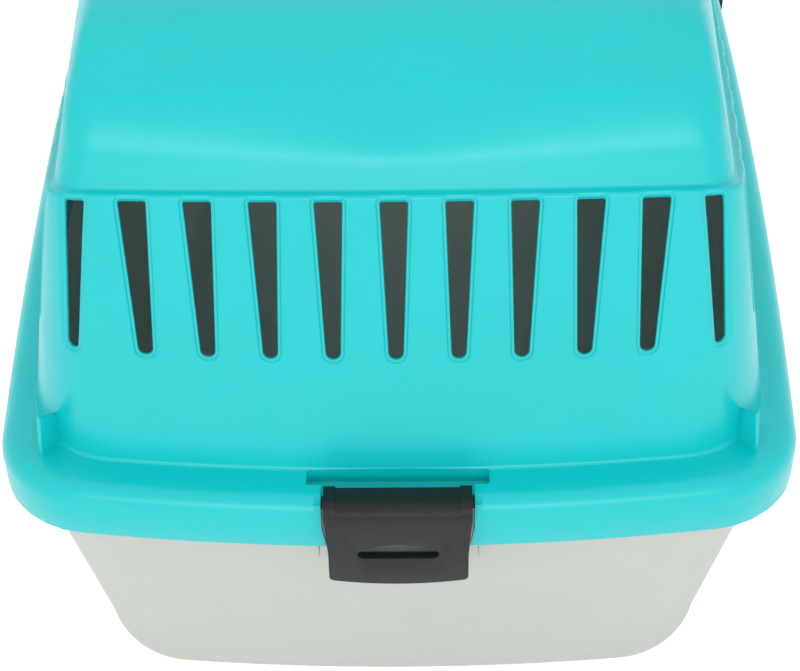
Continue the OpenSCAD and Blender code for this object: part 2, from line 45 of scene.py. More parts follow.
def makeCamera():
    down, turn, roll = (math.radians(view[k]) for k in ("down", "turn", "roll"))
    look = Vector((math.sin(turn) * math.cos(down), math.cos(turn) * math.cos(down), -math.sin(down)))
    right = look.cross(Vector((0, 0, 1))).normalized()
    up = right.cross(look)
    right, up = right * math.cos(roll) + up * math.sin(roll), up * math.cos(roll) - right * math.sin(roll)
    data = bpy.data.cameras.new("camera")
    data.lens, data.sensor_width = view["lens"], 36
    data.clip_start, data.clip_end = 0.01, 50
    cam = bpy.data.objects.new("camera", data)
    bpy.context.scene.collection.objects.link(cam)
    cam.matrix_world = Matrix.Translation(Vector(view["place"]) * mm) @ Matrix(
        [(right[i], up[i], -look[i]) for i in range(3)]).to_4x4()
    bpy.context.scene.camera = cam


makeCamera()
print("camera placed")


# materials
def hexColour(code, alpha=1.0):
    parts = [int(code[i:i + 2], 16) / 255 for i in (1, 3, 5)]
    return [c / 12.92 if c <= 0.04045 else ((c + 0.055) / 1.055) ** 2.4 for c in parts] + [alpha]


def addNode(tree, kind, settings=None, links=None):
    node = tree.nodes.new(kind)
    for key, value in (settings or {}).items():
        if isinstance(key, int) or key in node.inputs:
            node.inputs[key].default_value = value
        else:
            setattr(node, key, value)
    for key, socket in (links or {}).items():
        tree.links.new(socket, node.inputs[key])
    return node


def plasticMaterial(name, look):
    mat = bpy.data.materials.new(name)
    mat.use_nodes = True
    tree = mat.node_tree
    tree.nodes.clear()
    place = addNode(tree, "ShaderNodeTexCoord").outputs["Object"]
    clouds = addNode(tree, "ShaderNodeTexNoise", {"Scale": 1 / (look["cloud"] * mm), "Detail": 2.0}, {"Vector": place})
    tint = addNode(tree, "ShaderNodeMix", {"data_type": "RGBA", 6: hexColour(look["colour"]),
                   7: hexColour(look["shade"])}, {0: clouds.outputs["Fac"]})
    colour = tint.outputs[2]
    if look.get("speck"):  # odd darker pellets in the pigment
        specks = addNode(tree, "ShaderNodeTexNoise", {"Scale": 1 / (look["speckSize"] * mm), "Detail": 1.0}, {"Vector": place})
        mask = addNode(tree, "ShaderNodeMapRange", {"From Min": 0.72, "From Max": 0.8, "To Max": look["speck"]},
                       {"Value": specks.outputs["Fac"]})
        colour = addNode(tree, "ShaderNodeMix", {"data_type": "RGBA", 7: hexColour(look["speckColour"])},
                         {0: mask.outputs["Result"], 6: colour}).outputs[2]
    flow = addNode(tree, "ShaderNodeTexNoise", {"Scale": 1 / (look["flow"] * mm), "Detail": 3.0}, {"Vector": place})
    rough = addNode(tree, "ShaderNodeMapRange", {"From Min": 0.3, "From Max": 0.7, "To Min": look["rough"][0],
                    "To Max": look["rough"][1]}, {"Value": flow.outputs["Fac"]})
    grain = addNode(tree, "ShaderNodeTexNoise", {"Scale": 1 / (look["grain"] * mm), "Detail": 2.0}, {"Vector": place})
    fine = addNode(tree, "ShaderNodeBump", {"Strength": look["grainDepth"], "Distance": 0.0001}, {"Height": grain.outputs["Fac"]})
    wave = addNode(tree, "ShaderNodeBump", {"Strength": look["waveDepth"], "Distance": 0.0004},
                   {"Height": flow.outputs["Fac"], "Normal": fine.outputs["Normal"]})
    shader = addNode(tree, "ShaderNodeBsdfPrincipled", {"IOR": look["ior"]},
                     {"Base Color": colour, "Roughness": rough.outputs["Result"], "Normal": wave.outputs["Normal"]})
    addNode(tree, "ShaderNodeOutputMaterial", links={"Surface": shader.outputs["BSDF"]})
    return mat


# injection-moulded polypropylene from a polished mould: even turquoise, broad soft gloss, slight flow waves
turquoisePolypropylene = plasticMaterial("turquoisePolypropylene", {
    "colour": "#00CDD0", "shade": "#02C6CA", "cloud": 60, "flow": 9, "grain": 0.8, "rough": (0.30, 0.36),
    "grainDepth": 0.10, "waveDepth": 0.05, "ior": 1.49, "speck": 0.35, "speckSize": 1.1, "speckColour": "#0AA9AE"})
# the same plastic in warm light grey from a grained mould: satin, no sharp reflections
greyPolypropylene = plasticMaterial("greyPolypropylene", {
    "colour": "#CBCFC8", "shade": "#C3C8C0", "cloud": 70, "flow": 12, "grain": 0.9, "rough": (0.46, 0.54),
    "grainDepth": 0.22, "waveDepth": 0.04, "ior": 1.49, "speck": 0.3, "speckSize": 1.0, "speckColour": "#AAB0A8"})
# charcoal polypropylene: near black, satin with a fine grain that catches the light on rounded edges
charcoalPolypropylene = plasticMaterial("charcoalPolypropylene", {
    "colour": "#1D1F20", "shade": "#17191A", "cloud": 30, "flow": 8, "grain": 0.7, "rough": (0.40, 0.50),
    "grainDepth": 0.30, "waveDepth": 0.04, "ior": 1.38, "speck": 0.5, "speckSize": 0.9, "speckColour": "#3E4244"})
print("materials made")


# mesh helpers
def mix(a, b, t):
    return a + (b - a) * t


def meshPiece(name, points, faces, material, sharp=32.0):
    mesh = bpy.data.meshes.new(name)
    mesh.from_pydata((np.asarray(points) * mm).tolist(), [], faces)
    mesh.validate()
    bm = bmesh.new()
    bm.from_mesh(mesh)
    bmesh.ops.remove_doubles(bm, verts=bm.verts, dist=2e-6)
    bmesh.ops.dissolve_degenerate(bm, edges=bm.edges, dist=1e-6)
    bm.to_mesh(mesh)
    bm.free()
    piece = bpy.data.objects.new(name, mesh)
    bpy.context.scene.collection.objects.link(piece)
    finishPiece(piece, material, sharp)
    return piece


def finishPiece(piece, material, sharp=32.0):
    piece.data.materials.clear()
    piece.data.materials.append(material)
    piece.data.polygons.foreach_set("use_smooth", [True] * len(piece.data.polygons))
    piece.data.set_sharp_from_angle(angle=math.radians(sharp))
    piece.data.update()


def applyModifiers(piece):
    bpy.context.view_layer.update()
    graph = bpy.context.evaluated_depsgraph_get()
    fresh = bpy.data.meshes.new_from_object(piece.evaluated_get(graph))
    piece.modifiers.clear()
    piece.data = fresh


def combine(piece, other, operation, solver="MANIFOLD"):
    mod = piece.modifiers.new("cut", "BOOLEAN")
    mod.operation, mod.object, mod.solver = operation, other, solver
    before = len(piece.data.polygons)
    applyModifiers(piece)
    bpy.data.objects.remove(other)
    if not len(piece.data.polygons):
        raise RuntimeError(f"{piece.name} was emptied by {operation}, had {before} faces")


def bevelEdges(piece, width, segments=2, angle=40):
    mod = piece.modifiers.new("edges", "BEVEL")
    mod.width, mod.segments, mod.limit_method = width * mm, segments, "ANGLE"
    mod.angle_limit, mod.use_clamp_overlap, mod.harden_normals = math.radians(angle), True, False
    applyModifiers(piece)


def joinPieces(name, pieces):
    points, faces, start = [], [], 0
    for piece in pieces:
        points += [v.co / mm for v in piece.data.vertices]
        faces += [[i + start for i in p.vertices] for p in piece.data.polygons]
        start = len(points)
        bpy.data.objects.remove(piece)
    joined = bpy.data.meshes.new(name)
    joined.from_pydata([tuple(p * mm) for p in points], [], faces)
    piece = bpy.data.objects.new(name, joined)
    bpy.context.scene.collection.objects.link(piece)
    return piece


def prismPiece(name, outline, low, high, axis="z", material=None, bevel=0.0, segments=2):
    # outline runs anticlockwise seen against the axis
    place = {"z": lambda a, b, c: (a, b, c), "y": lambda a, b, c: (a, -c, b), "x": lambda a, b, c: (c, a, b)}[axis]
    n = len(outline)
    points = [place(a, b, low) for a, b in outline] + [place(a, b, high) for a, b in outline]
    faces = [list(range(n - 1, -1, -1)), list(range(n, 2 * n))] + [[i, (i + 1) % n, n + (i + 1) % n, n + i] for i in range(n)]
    piece = meshPiece(name, points, faces, material or turquoisePolypropylene)
    if bevel:
        bevelEdges(piece, bevel, segments)
        finishPiece(piece, material or turquoisePolypropylene)
    return piece


def boxPiece(name, low, high, material=None, bevel=0.0, segments=2):
    outline = [(low[0], low[1]), (high[0], low[1]), (high[0], high[1]), (low[0], high[1])]
    return prismPiece(name, outline, low[2], high[2], "z", material, bevel, segments)


def arcPoints(cx, cy, r, start, end, n=8):
    return [(cx + r * math.cos(math.radians(mix(start, end, i / n))), cy + r * math.sin(math.radians(mix(start, end, i / n))))
            for i in range(n + 1)]


def roundedOutline(x0, y0, x1, y1, r, n=6):
    return (arcPoints(x1 - r, y0 + r, r, 270, 360, n) + arcPoints(x1 - r, y1 - r, r, 0, 90, n)
            + arcPoints(x0 + r, y1 - r, r, 90, 180, n) + arcPoints(x0 + r, y0 + r, r, 180, 270, n))


def gridFaces(rows, columns, start=0, closed=True, flip=False):
    faces = []
    for k in range(rows - 1):
        for i in range(columns if closed else columns - 1):
            j = (i + 1) % columns
            quad = [start + k * columns + i, start + k * columns + j, start + (k + 1) * columns + j, start + (k + 1) * columns + i]
            faces.append(quad[::-1] if flip else quad)
    return faces


class Skin:
    # collects grids of points and their faces for one closed body
    def __init__(self):
        self.points, self.faces, self.count = [], [], 0

    def add(self, rows, closed=True, flip=False):
        rows = np.asarray(rows)
        self.faces += gridFaces(rows.shape[0], rows.shape[1], self.count, closed, flip)
        self.points.append(rows.reshape(-1, 3))
        self.count += rows.shape[0] * rows.shape[1]

    def cap(self, row, flip=False):
        n = len(row)
        face = list(range(self.count, self.count + n))
        self.faces.append(face[::-1] if flip else face)
        self.points.append(np.asarray(row))
        self.count += n

    def fan(self, row, centre, flip=False):
        n = len(row)
        self.points.append(np.vstack([row, [centre]]))
        for i in range(n):
            tri = [self.count + i, self.count + (i + 1) % n, self.count + n]
            self.faces.append(tri[::-1] if flip else tri)
        self.count += n + 1

    def piece(self, name, material, sharp=32.0):
        return meshPiece(name, np.vstack(self.points), self.faces, material, sharp)


def roundCorner(a, b, c, r, n):
    # rows that round the corner b of the profile a, b, c, point by point along the rows
    u, v = a - b, c - b
    u /= np.linalg.norm(u, axis=1)[:, None]
    v /= np.linalg.norm(v, axis=1)[:, None]
    half = np.arccos(np.clip((u * v).sum(1), -0.99999, 0.99999)) / 2
    reach = (r / np.tan(half))[:, None]
    middle = u + v
    middle /= np.linalg.norm(middle, axis=1)[:, None]
    centre = b + middle * (r / np.sin(half))[:, None]
    first, last = b + u * reach - centre, b + v * reach - centre
    sweep = math.pi - 2 * half
    rows = []
    for k in range(n + 1):
        t = k / n
        s = np.sin(sweep)
        rows.append(centre + first * (np.sin((1 - t) * sweep) / s)[:, None] + last * (np.sin(t * sweep) / s)[:, None])
    return rows


def rowNormals(rows):
    rows = np.asarray(rows)
    along = np.roll(rows, -1, 1) - np.roll(rows, 1, 1)
    up = np.gradient(rows, axis=0)
    normal = np.cross(along, up)
    return normal / np.maximum(np.linalg.norm(normal, axis=2), 1e-9)[:, :, None]


# upper shell, sizes in mm
shell = {"length": 480.0, "width": 320.0, "flangeZ": 146.0, "roofZ": 306.0, "sideBow": 7.0, "endBow": 12.0,
         "upperBow": 7.92, "flangeR": 31.4, "flangeBow": 13.05, "flangeSide": 13.4, "flangeEnd": 19.0, "skirt": 22.8, "flangeEdge": 7.5, "footR": 32.0,
         "shoulderH": 117.0, "shoulderDip": 35.0, "lean": 117.0 * math.tan(math.radians(8.8)), "topR": 13.0,
         "ledgeEnd": 4.0, "ledgeMiddle": 3.2, "edgeR": 1.3, "browH": 24.0, "domeDraft": 13.0, "browDraft": 24.0,
         "domeRound": 16.0, "slope": 30.0, "blend": 20.0, "crown": 4.0, "wall": 2.0, "footFillet": 1.6, "domeFillet": 1.0}
vents = {"endPitch": 23.0, "endCount": 11, "sidePitch": 21.7, "sideCount": 18, "top": 10.0, "foot": 5.5, "footZ": 195.0,
         "drop": 1.7, "browRise": 1.45, "cornerR": 1.2, "cellFoot": 190.0, "sideEdge": 192.6, "cornerTop": 112.5, "cornerFoot": 119.8,
         "cornerTopWidth": 7.6, "cornerFootWidth": 4.5, "cornerEdgeTop": 118.8, "cornerEdgeFoot": 125.4,
         "rings": [(1.9, 0.0), (1.55, 0.1), (1.3, 0.35), (1.15, 0.7), (0.95, 0.85), (0.45, 0.88), (0.18, 0.95), (0.0, 1.2)]}
shoulderZ = shell["flangeZ"] + shell["shoulderH"]
shoulderY = shell["length"] / 2 - shell["flangeEnd"] - shell["lean"]
shoulderR = (shoulderY ** 2 + shell["shoulderDip"] ** 2) / (2 * shell["shoulderDip"])
browY = shoulderY - 4.0 - shell["browH"] * math.tan(math.radians(shell["browDraft"]))
flatY = browY - shell["blend"] / 2 - (shell["roofZ"] - shoulderZ - shell["browH"]) / math.tan(math.radians(shell["slope"]))


def planPoints(q, insetX, insetY, radius, sideBow=None, endBow=None):
    # rounded oblong with bowed sides; q runs 0 to 8 anticlockwise from the foot of the right side
    sideBow = shell["sideBow"] if sideBow is None else sideBow
    endBow = shell["endBow"] if endBow is None else endBow
    q = np.mod(np.asarray(q, float), 8)
    turn = np.radians(np.interp(q, range(9), [0, 0, 90, 90, 180, 180, 270, 270, 360]))
    sx = np.interp(q, range(9), [1, 1, 1, -1, -1, -1, -1, 1, 1])
    sy = np.interp(q, range(9), [-1, 1, 1, 1, 1, -1, -1, -1, -1])
    hx, hy = shell["width"] / 2 - insetX, shell["length"] / 2 - insetY
    x = (hx - radius) * sx + radius * np.cos(turn)
    y = (hy - radius) * sy + radius * np.sin(turn)
    return np.stack([x * (1 - sideBow * (2 * y / shell["length"]) ** 2 / hx),
                     y * (1 - endBow * (2 * x / shell["width"]) ** 2 / hy)], -1)


def atHeight(plan, z):
    return np.concatenate([plan, np.broadcast_to(np.asarray(z, float), plan.shape[:-1])[..., None]], -1)


def footLoop(q):
    return planPoints(q, shell["flangeSide"], shell["flangeEnd"], shell["footR"])


def topLoop(q):
    return planPoints(q, shell["flangeSide"] + shell["lean"], shell["flangeEnd"] + shell["lean"], shell["topR"],
                      shell["sideBow"], shell["upperBow"])


def shoulderAt(y):
    return shoulderZ - shell["shoulderDip"] + shoulderR - np.sqrt(shoulderR ** 2 - np.minimum(y * y, shoulderY ** 2 * 1.1))


def roofAt(x, y):
    s = np.abs(y) - flatY
    fall = np.where(s <= 0, 0, np.where(s < shell["blend"], s * s / (2 * shell["blend"]), s - shell["blend"] / 2))
    return shell["roofZ"] - fall * math.tan(math.radians(shell["slope"])) - shell["crown"] * (2 * x / shell["width"]) ** 2


def profileAt(q, h):
    # outer point, its normal and the inner point at height h; past the wall's top h runs round the edge and onto the ledge
    q, h = np.broadcast_arrays(np.asarray(q, float), np.asarray(h, float))
    foot, top = footLoop(q), topLoop(q)
    inward = top - foot
    run = np.linalg.norm(inward, axis=-1)
    inward = inward / run[..., None]
    tilt = np.arctan(run / shell["shoulderH"])
    edge = shoulderAt(top[..., 1])
    r, start = shell["edgeR"], math.pi / 2 - tilt
    wallTop = edge - r * (1 - np.sin(tilt))
    k = (edge - shell["flangeZ"]) / shell["shoulderH"]
    corner = atHeight(mix(foot, top, k[..., None]), edge)

    def direction(phi):
        return np.concatenate([-inward * np.sin(phi)[..., None], np.cos(phi)[..., None]], -1)
    side, flat = direction(start), direction(start * 0)
    share = 1 + (side * flat).sum(-1)
    centre = corner - (side + flat) * (r / share)[..., None]
    phi = start - np.clip((h - wallTop) / r, 0, start)
    past = np.maximum(h - wallTop - start * r, 0)
    level = np.minimum(h, wallTop)
    k = (level - shell["flangeZ"]) / shell["shoulderH"]
    along = atHeight(inward, 0)
    onWall = (h <= wallTop)[..., None]
    outer = np.where(onWall, atHeight(mix(foot, top, k[..., None]), level), centre + direction(phi) * r + along * past[..., None])
    normal = np.where(onWall, side, direction(phi))
    t, small = shell["wall"], 0.3
    innerCentre = corner - (side + flat) * ((t + small) / share)[..., None]
    innerArc = innerCentre + direction(phi) * small + along * past[..., None] * 0.1
    k = (np.minimum(h, wallTop - 1.8) - shell["flangeZ"]) / shell["shoulderH"]
    innerWall = atHeight(mix(foot, top, k[..., None]), np.minimum(h, wallTop - 1.8)) - side * t
    join = np.clip((h - wallTop + 1.8) / 1.8, 0, 1)[..., None]
    inner = np.where(onWall, mix(innerWall, innerCentre + side * small, join), innerArc)
    return outer, normal, inner


wallFaces = {"right": (-0.9, 1.9, 1, 1), "left": (3.1, 5.9, 1, -1), "rear": (5.1, 7.9, 0, 1)}


def solveColumn(side, across, z=None):
    # q where the wall (or its top edge) has the given distance across
    low, high, axis, sign = wallFaces[side]
    across = np.asarray(across, float)
    a, b = np.full(across.shape, low), np.full(across.shape, high)
    for _ in range(36):
        q = (a + b) / 2
        if z is None:
            k = (shoulderAt(topLoop(q)[..., 1]) - shell["edgeR"] * 0.847 - shell["flangeZ"]) / shell["shoulderH"]
        else:
            k = (np.asarray(z) - shell["flangeZ"]) / shell["shoulderH"]
        value = sign * mix(footLoop(q), topLoop(q), np.asarray(k)[..., None])[..., axis]
        a, b = np.where(value < across, q, a), np.where(value < across, b, q)
    return (a + b) / 2


def wallTopAt(q):
    foot, top = footLoop(q), topLoop(q)
    tilt = np.arctan(np.linalg.norm(top - foot, axis=-1) / shell["shoulderH"])
    return shoulderAt(top[..., 1]) - shell["edgeR"] * (1 - np.sin(tilt))


def columnAt(side, across, h):
    qTop = solveColumn(side, across)
    return np.where(h <= wallTopAt(qTop), solveColumn(side, across, np.minimum(h, wallTopAt(qTop))), qTop)


def cellRows(wallTop):
    # heights of the 15 rows of a cell's upright edges
    lower, joint = vents["footZ"] + 2, wallTop - 1.8
    return np.stack([wallTop * 0 + vents["cellFoot"], wallTop * 0 + 193.6] + [mix(lower, joint, i / 6) for i in range(7)]
                    + [wallTop + d for d in (0, 0.46, 0.92, 1.38, 1.85, 2.75)], 0)


def edgeLine(side, topAcross, footAcross):
    # q and h of the 15 rows along a cell's edge that leans from footAcross to topAcross
    wallTop = wallTopAt(solveColumn(side, np.array(topAcross)))
    h = cellRows(wallTop)
    across = mix(topAcross, footAcross, np.clip((wallTop - h) / (wallTop - vents["footZ"]), 0, 1.1))
    return columnAt(side, across, h), h, across


def ventCell(skin, side, low, high, slot):
    # one slot with its shallow recess; low and high are the edge lines, slot is (top, foot, widthTop, widthFoot)
    topAcross, footAcross, widthTop, widthFoot = slot
    wallTop = float(wallTopAt(solveColumn(side, np.array(topAcross))))
    top, rf, rc = wallTop + shell["edgeR"] * 0.847 - vents["drop"], widthFoot / 2, vents["cornerR"]
    footZ = vents["footZ"] + rf

    def outline(d):
        arc = arcPoints(0, footZ, rf + d, 180, 360, 8)
        straight = [(mix(rf, widthTop / 2, i / 6) + d, mix(footZ, top - rc, i / 6)) for i in range(1, 7)]
        bend = arcPoints(widthTop / 2 - rc, top - rc, rc + d, 0, 90, 6)[1:]
        ceiling = [(mix(widthTop / 2 - rc, rc - widthTop / 2, i / 4), top + d) for i in range(1, 4)]
        right = arc[2:9] + straight + bend
        left = [(-a, b) for a, b in (bend[::-1] + straight[::-1] + [arc[8], arc[7]])]
        a, h = np.array(right + ceiling + left).T
        h = np.where(h > top, top + (h - top) * vents["browRise"], h)
        rise = np.clip((h - footZ) / (top - footZ), 0, 1.3)
        a = a + mix(footAcross, topAcross, rise)
        tilt = wallTopAt(solveColumn(side, a)) - wallTop
        return a, h + tilt * np.clip(rise, 0, 1), np.clip(rise, 0, 1) * (h > top - rc - d - 2.5)
    (qLow, hLow, aLow), (qHigh, hHigh, aHigh) = low, high
    share = np.array([0.25, 0.5, 0.75])
    bottomA, topA = mix(aLow[0], aHigh[0], share), mix(aLow[14], aHigh[14], share)
    bottomH, topH = np.full(3, vents["cellFoot"]), wallTopAt(solveColumn(side, topA)) + 2.75
    qBottom, qTop = columnAt(side, bottomA, bottomH), columnAt(side, topA, topH)
    order = lambda lo, b, hi, t: np.concatenate([[lo[0]], b, hi, t[::-1], lo[1:][::-1]])
    edgeQ, edgeH, edgeA = order(qLow, qBottom, qHigh, qTop), order(hLow, bottomH, hHigh, topH), order(aLow, bottomA, aHigh, topA)
    rings, inner = [profileAt(edgeQ, edgeH)[0]], []
    a0, h0, _ = outline(vents["rings"][0][0])
    am, hm = mix(edgeA, a0, 0.55), mix(edgeH, h0, 0.55)
    qm = columnAt(side, am, hm)
    rings.append(profileAt(qm, hm)[0])
    for d, depth in vents["rings"]:
        a, h, _ = outline(d)
        outer, normal, _ = profileAt(columnAt(side, a, h), h)
        rings.append(outer - normal * depth)
    for d in (0.0, 1.9):
        a, h, nearTop = outline(d)
        h = h - 1.2 * nearTop
        rings.append(profileAt(columnAt(side, a, h), h)[2])
    rings += [profileAt(qm, hm)[2], profileAt(edgeQ, edgeH)[2]]
    skin.add(rings)
    return qBottom, qTop


def shellSkin():
    skin = Skin()
    n = vents["sideCount"]
    inner = [(k - n / 2) * vents["sidePitch"] for k in range(1, n)]
    sideEdges = [-vents["sideEdge"]] + inner + [vents["sideEdge"]]
    m = vents["endCount"]
    rearInner = [(k - m / 2) * vents["endPitch"] for k in range(1, m)]
    corner = (vents["cornerEdgeTop"], vents["cornerEdgeFoot"])
    rearEdges = [(-corner[0], -corner[1])] + [(x, x) for x in rearInner] + [corner]
    lines = {side: [edgeLine(side, y, y) for y in sideEdges] for side in ("right", "left")}
    lines["rear"] = [edgeLine("rear", *pair) for pair in rearEdges]
    qFoot, qTop = [], []

    def plainZone(start, end, count, qShift=0.0):
        (q0, h0, _), (q1, h1, _) = start, end
        columns = []
        for j in range(count + 1):
            q = mix(q0, q1 + qShift, j / count)
            h = cellRows(wallTopAt(q[14]))
            if j in (0, count):
                h = (h0, h1)[j > 0]
            columns.append(profileAt(q, h))
        skin.add(np.stack([c[0] for c in columns], 1), closed=False)
        skin.add(np.stack([c[2] for c in columns], 1), closed=False, flip=True)
        for j in range(count):
            qFoot.append(mix(q0[0], q1[0] + qShift, j / count))
            qTop.append(mix(q0[14], q1[14] + qShift, j / count))

    def slotZone(side, edges, slots):
        for i, slot in enumerate(slots):
            bottom, top = ventCell(skin, side, edges[i], edges[i + 1], slot)
            qFoot.extend([edges[i][0][0], *bottom])
            qTop.extend([edges[i][0][14], *top])
    sideSlots = [((k - (n - 1) / 2) * vents["sidePitch"],) * 2 + (vents["top"], vents["foot"]) for k in range(n)]
    rearSlots = [((k - (m - 1) / 2) * vents["endPitch"],) * 2 + (vents["top"], vents["foot"]) for k in range(1, m - 1)]
    outer = (vents["cornerTop"], vents["cornerFoot"], vents["cornerTopWidth"], vents["cornerFootWidth"])
    rearSlots = [(-outer[0], -outer[1]) + outer[2:]] + rearSlots + [outer]
    slotZone("right", lines["right"], sideSlots)
    plainZone(lines["right"][-1], lines["left"][0], 44)
    slotZone("left", lines["left"], sideSlots)
    plainZone(lines["left"][-1], lines["rear"][0], 8)
    slotZone("rear", lines["rear"], rearSlots)
    plainZone(lines["rear"][-1], lines["right"][0], 8, 8.0)
    qFoot, qTop = np.array(qFoot), np.array(qTop)

    # below the slots: skirt, flange edge, flange, wall foot
    t, z0 = shell["wall"], shell["flangeZ"]
    foot = atHeight(footLoop(qFoot), z0)
    rim = lambda inset, z: atHeight(planPoints(qFoot, inset, inset, shell["flangeR"] - inset, None, shell["flangeBow"]), z)
    outerRows = [rim(0.2 + e, z0 - shell["skirt"] + u) for e, u in ((0.6, 0.0), (0.2, 0.15), (0.03, 0.5))] + [rim(0.1, z0 - 13.5)]
    for a in range(0, 91, 15):
        c = shell["flangeEdge"] * (1 - math.cos(math.radians(a)))
        s = shell["flangeEdge"] * (1 - math.sin(math.radians(a)))
        outerRows.append(rim(c, z0 - s))
    edge = rim(shell["flangeEdge"], z0)
    outerRows += [mix(edge, foot, 0.35), mix(edge, foot, 0.62)]
    wallRow = profileAt(qFoot, np.full(len(qFoot), 170.0))[0]
    outerRows += roundCorner(edge, foot, wallRow, shell["footFillet"], 5)
    outerRows += [profileAt(qFoot, np.full(len(qFoot), z))[0] for z in (153.0, 162.0, 171.0, 180.0)]
    outerRows = np.array(outerRows)
    normals = rowNormals(outerRows)
    innerRows = outerRows - normals * t
    last, lastInner = profileAt(qFoot, np.full(len(qFoot), vents["cellFoot"]))[::2]
    skin.add(np.concatenate([[lastInner], innerRows[::-1], outerRows, [last]]))

    # above the slots: ledge, dome sides, rounding, roof
    insetX, insetY = shell["flangeSide"] + shell["lean"] + 4.0, shell["flangeEnd"] + shell["lean"] + 4.0
    base = planPoints(qTop, insetX, insetY, 10.0, shell["sideBow"], shell["upperBow"])
    brow = planPoints(qTop, insetX + shell["browH"] * math.tan(math.radians(shell["domeDraft"])),
                      insetY + shell["browH"] * math.tan(math.radians(shell["browDraft"])), 12.0, shell["sideBow"], shell["upperBow"])
    top, low = topLoop(qTop), footLoop(qTop)
    edgeZ = shoulderAt(top[:, 1])
    corner = mix(low, top, ((edgeZ - z0) / shell["shoulderH"])[:, None])
    inward = (top - low) / np.linalg.norm(top - low, axis=1)[:, None]
    width = mix(shell["ledgeMiddle"], shell["ledgeEnd"], np.clip(np.abs(corner[:, 1]) / 200, 0, 1) ** 2)
    domeFoot = atHeight(corner + inward * width[:, None], edgeZ)
    roofEdge = roofAt(brow[:, 0], brow[:, 1])
    fall = np.minimum(shell["domeRound"], (roofEdge - edgeZ) * 0.6)
    rimZ = roofEdge - fall
    rim = atHeight(mix(base, brow, ((rimZ - shoulderZ) / shell["browH"])[:, None]), rimZ)
    ledgeRow, ledgeInner = profileAt(qTop, wallTopAt(qTop) + 2.75)[::2]
    rows = roundCorner(ledgeRow, domeFoot, rim, shell["domeFillet"], 4)
    rows += [mix(domeFoot, rim, k) for k in (0.12, 0.3, 0.5, 0.75)]
    tilt = math.radians(16.5)
    spread = np.abs(rim[:, 0]) + np.abs(rim[:, 1]) / 2

    def rimArc(a):
        c = (math.cos(tilt) - math.cos(a)) / math.cos(tilt)
        s = (math.sin(a) - math.sin(tilt)) / (1 - math.sin(tilt))
        xy = rim[:, :2] * (1 - fall * c / spread)[:, None]
        return atHeight(xy, mix(rim[:, 2], roofAt(xy[:, 0], xy[:, 1]), s))
    rows += [rimArc(mix(tilt, math.pi / 2, i / 12)) for i in range(13)]
    last = rows[-1][:, :2]
    for k in (0.99, 0.975, 0.96, 0.945, 0.93, 0.915, 0.9, 0.885, 0.87, 0.85, 0.82, 0.78, 0.72, 0.62, 0.48, 0.32, 0.16, 0.05):
        rows.append(atHeight(last * k, roofAt(last[:, 0] * k, last[:, 1] * k)))
    rows = np.array(rows)
    inner = rows - rowNormals(rows) * t
    skin.add(np.concatenate([[ledgeRow], rows]))
    skin.add(np.concatenate([[ledgeInner], inner]), flip=True)
    skin.fan(rows[-1], [0, 0, roofAt(0.0, 0.0)])
    skin.fan(inner[-1], [0, 0, roofAt(0.0, 0.0) - t], flip=True)
    return skin


seat = {"sideY": 145.0, "room": 1.9, "axisY": 5.0, "axisZ": -3.4, "pinR": 2.2, "pinGap": 0.08, "half": 27.0, "taper": 1.7,
        "notchY": 11.8, "cheekT": 2.4, "cheekDrop": 12.0, "pocketHalf": 34.6, "pocketDepth": 6.5}


def seatMatrix(place):
    # local +Y runs inwards from the flange's edge, z is 0 at the flange's top
    y = seat["sideY"]
    x = shell["width"] / 2 - shell["sideBow"] * (2 * y / shell["length"]) ** 2
    turn = math.atan(8 * shell["sideBow"] * y / shell["length"] ** 2)
    where, angle = {"rear": ((0, -shell["length"] / 2), 0), "left": ((-x, y), -math.pi / 2 - turn),
                    "right": ((x, y), math.pi / 2 + turn)}[place]
    return Matrix.Translation(Vector((*where, shell["flangeZ"])) * mm) @ Matrix.Rotation(angle, 4, "Z")


def moved(piece, matrix):
    piece.data.transform(matrix)
    return piece


def rodPiece(name, axis, centre, r, low, high, material=None, sides=32):
    return prismPiece(name, arcPoints(*centre, r, 0, 360 * (1 - 1 / sides), sides - 1), low, high, axis, material)


def pressDimples(body, places, r, depth):
    # finer mesh round each dimple, then the surface is pressed in
    bm = bmesh.new()
    bm.from_mesh(body.data)
    bm.faces.ensure_lookup_table()
    for x, y in places:
        middle = Vector((x, y, float(roofAt(x, y)))) * mm
        near = [f for f in bm.faces if (f.calc_center_median() - middle).length < 1.9 * r * mm and f.normal.z > 0.3]
        edges = list({e for f in near for e in f.edges})
        bmesh.ops.subdivide_edges(bm, edges=edges, cuts=5, use_grid_fill=True)
        bm.normal_update()
        down = Vector((0, math.sin(math.radians(shell["slope"])), -math.cos(math.radians(shell["slope"]))))
        for v in bm.verts:
            gap = v.co - middle
            if abs(gap.dot(down)) < 0.6 * mm:
                t = (gap - down * gap.dot(down)).length / (r * mm)
                if t < 1.12:
                    v.co += down * depth * mm * (1 - (t / 1.12) ** 2) ** 1.25
    bm.to_mesh(body.data)
    bm.free()


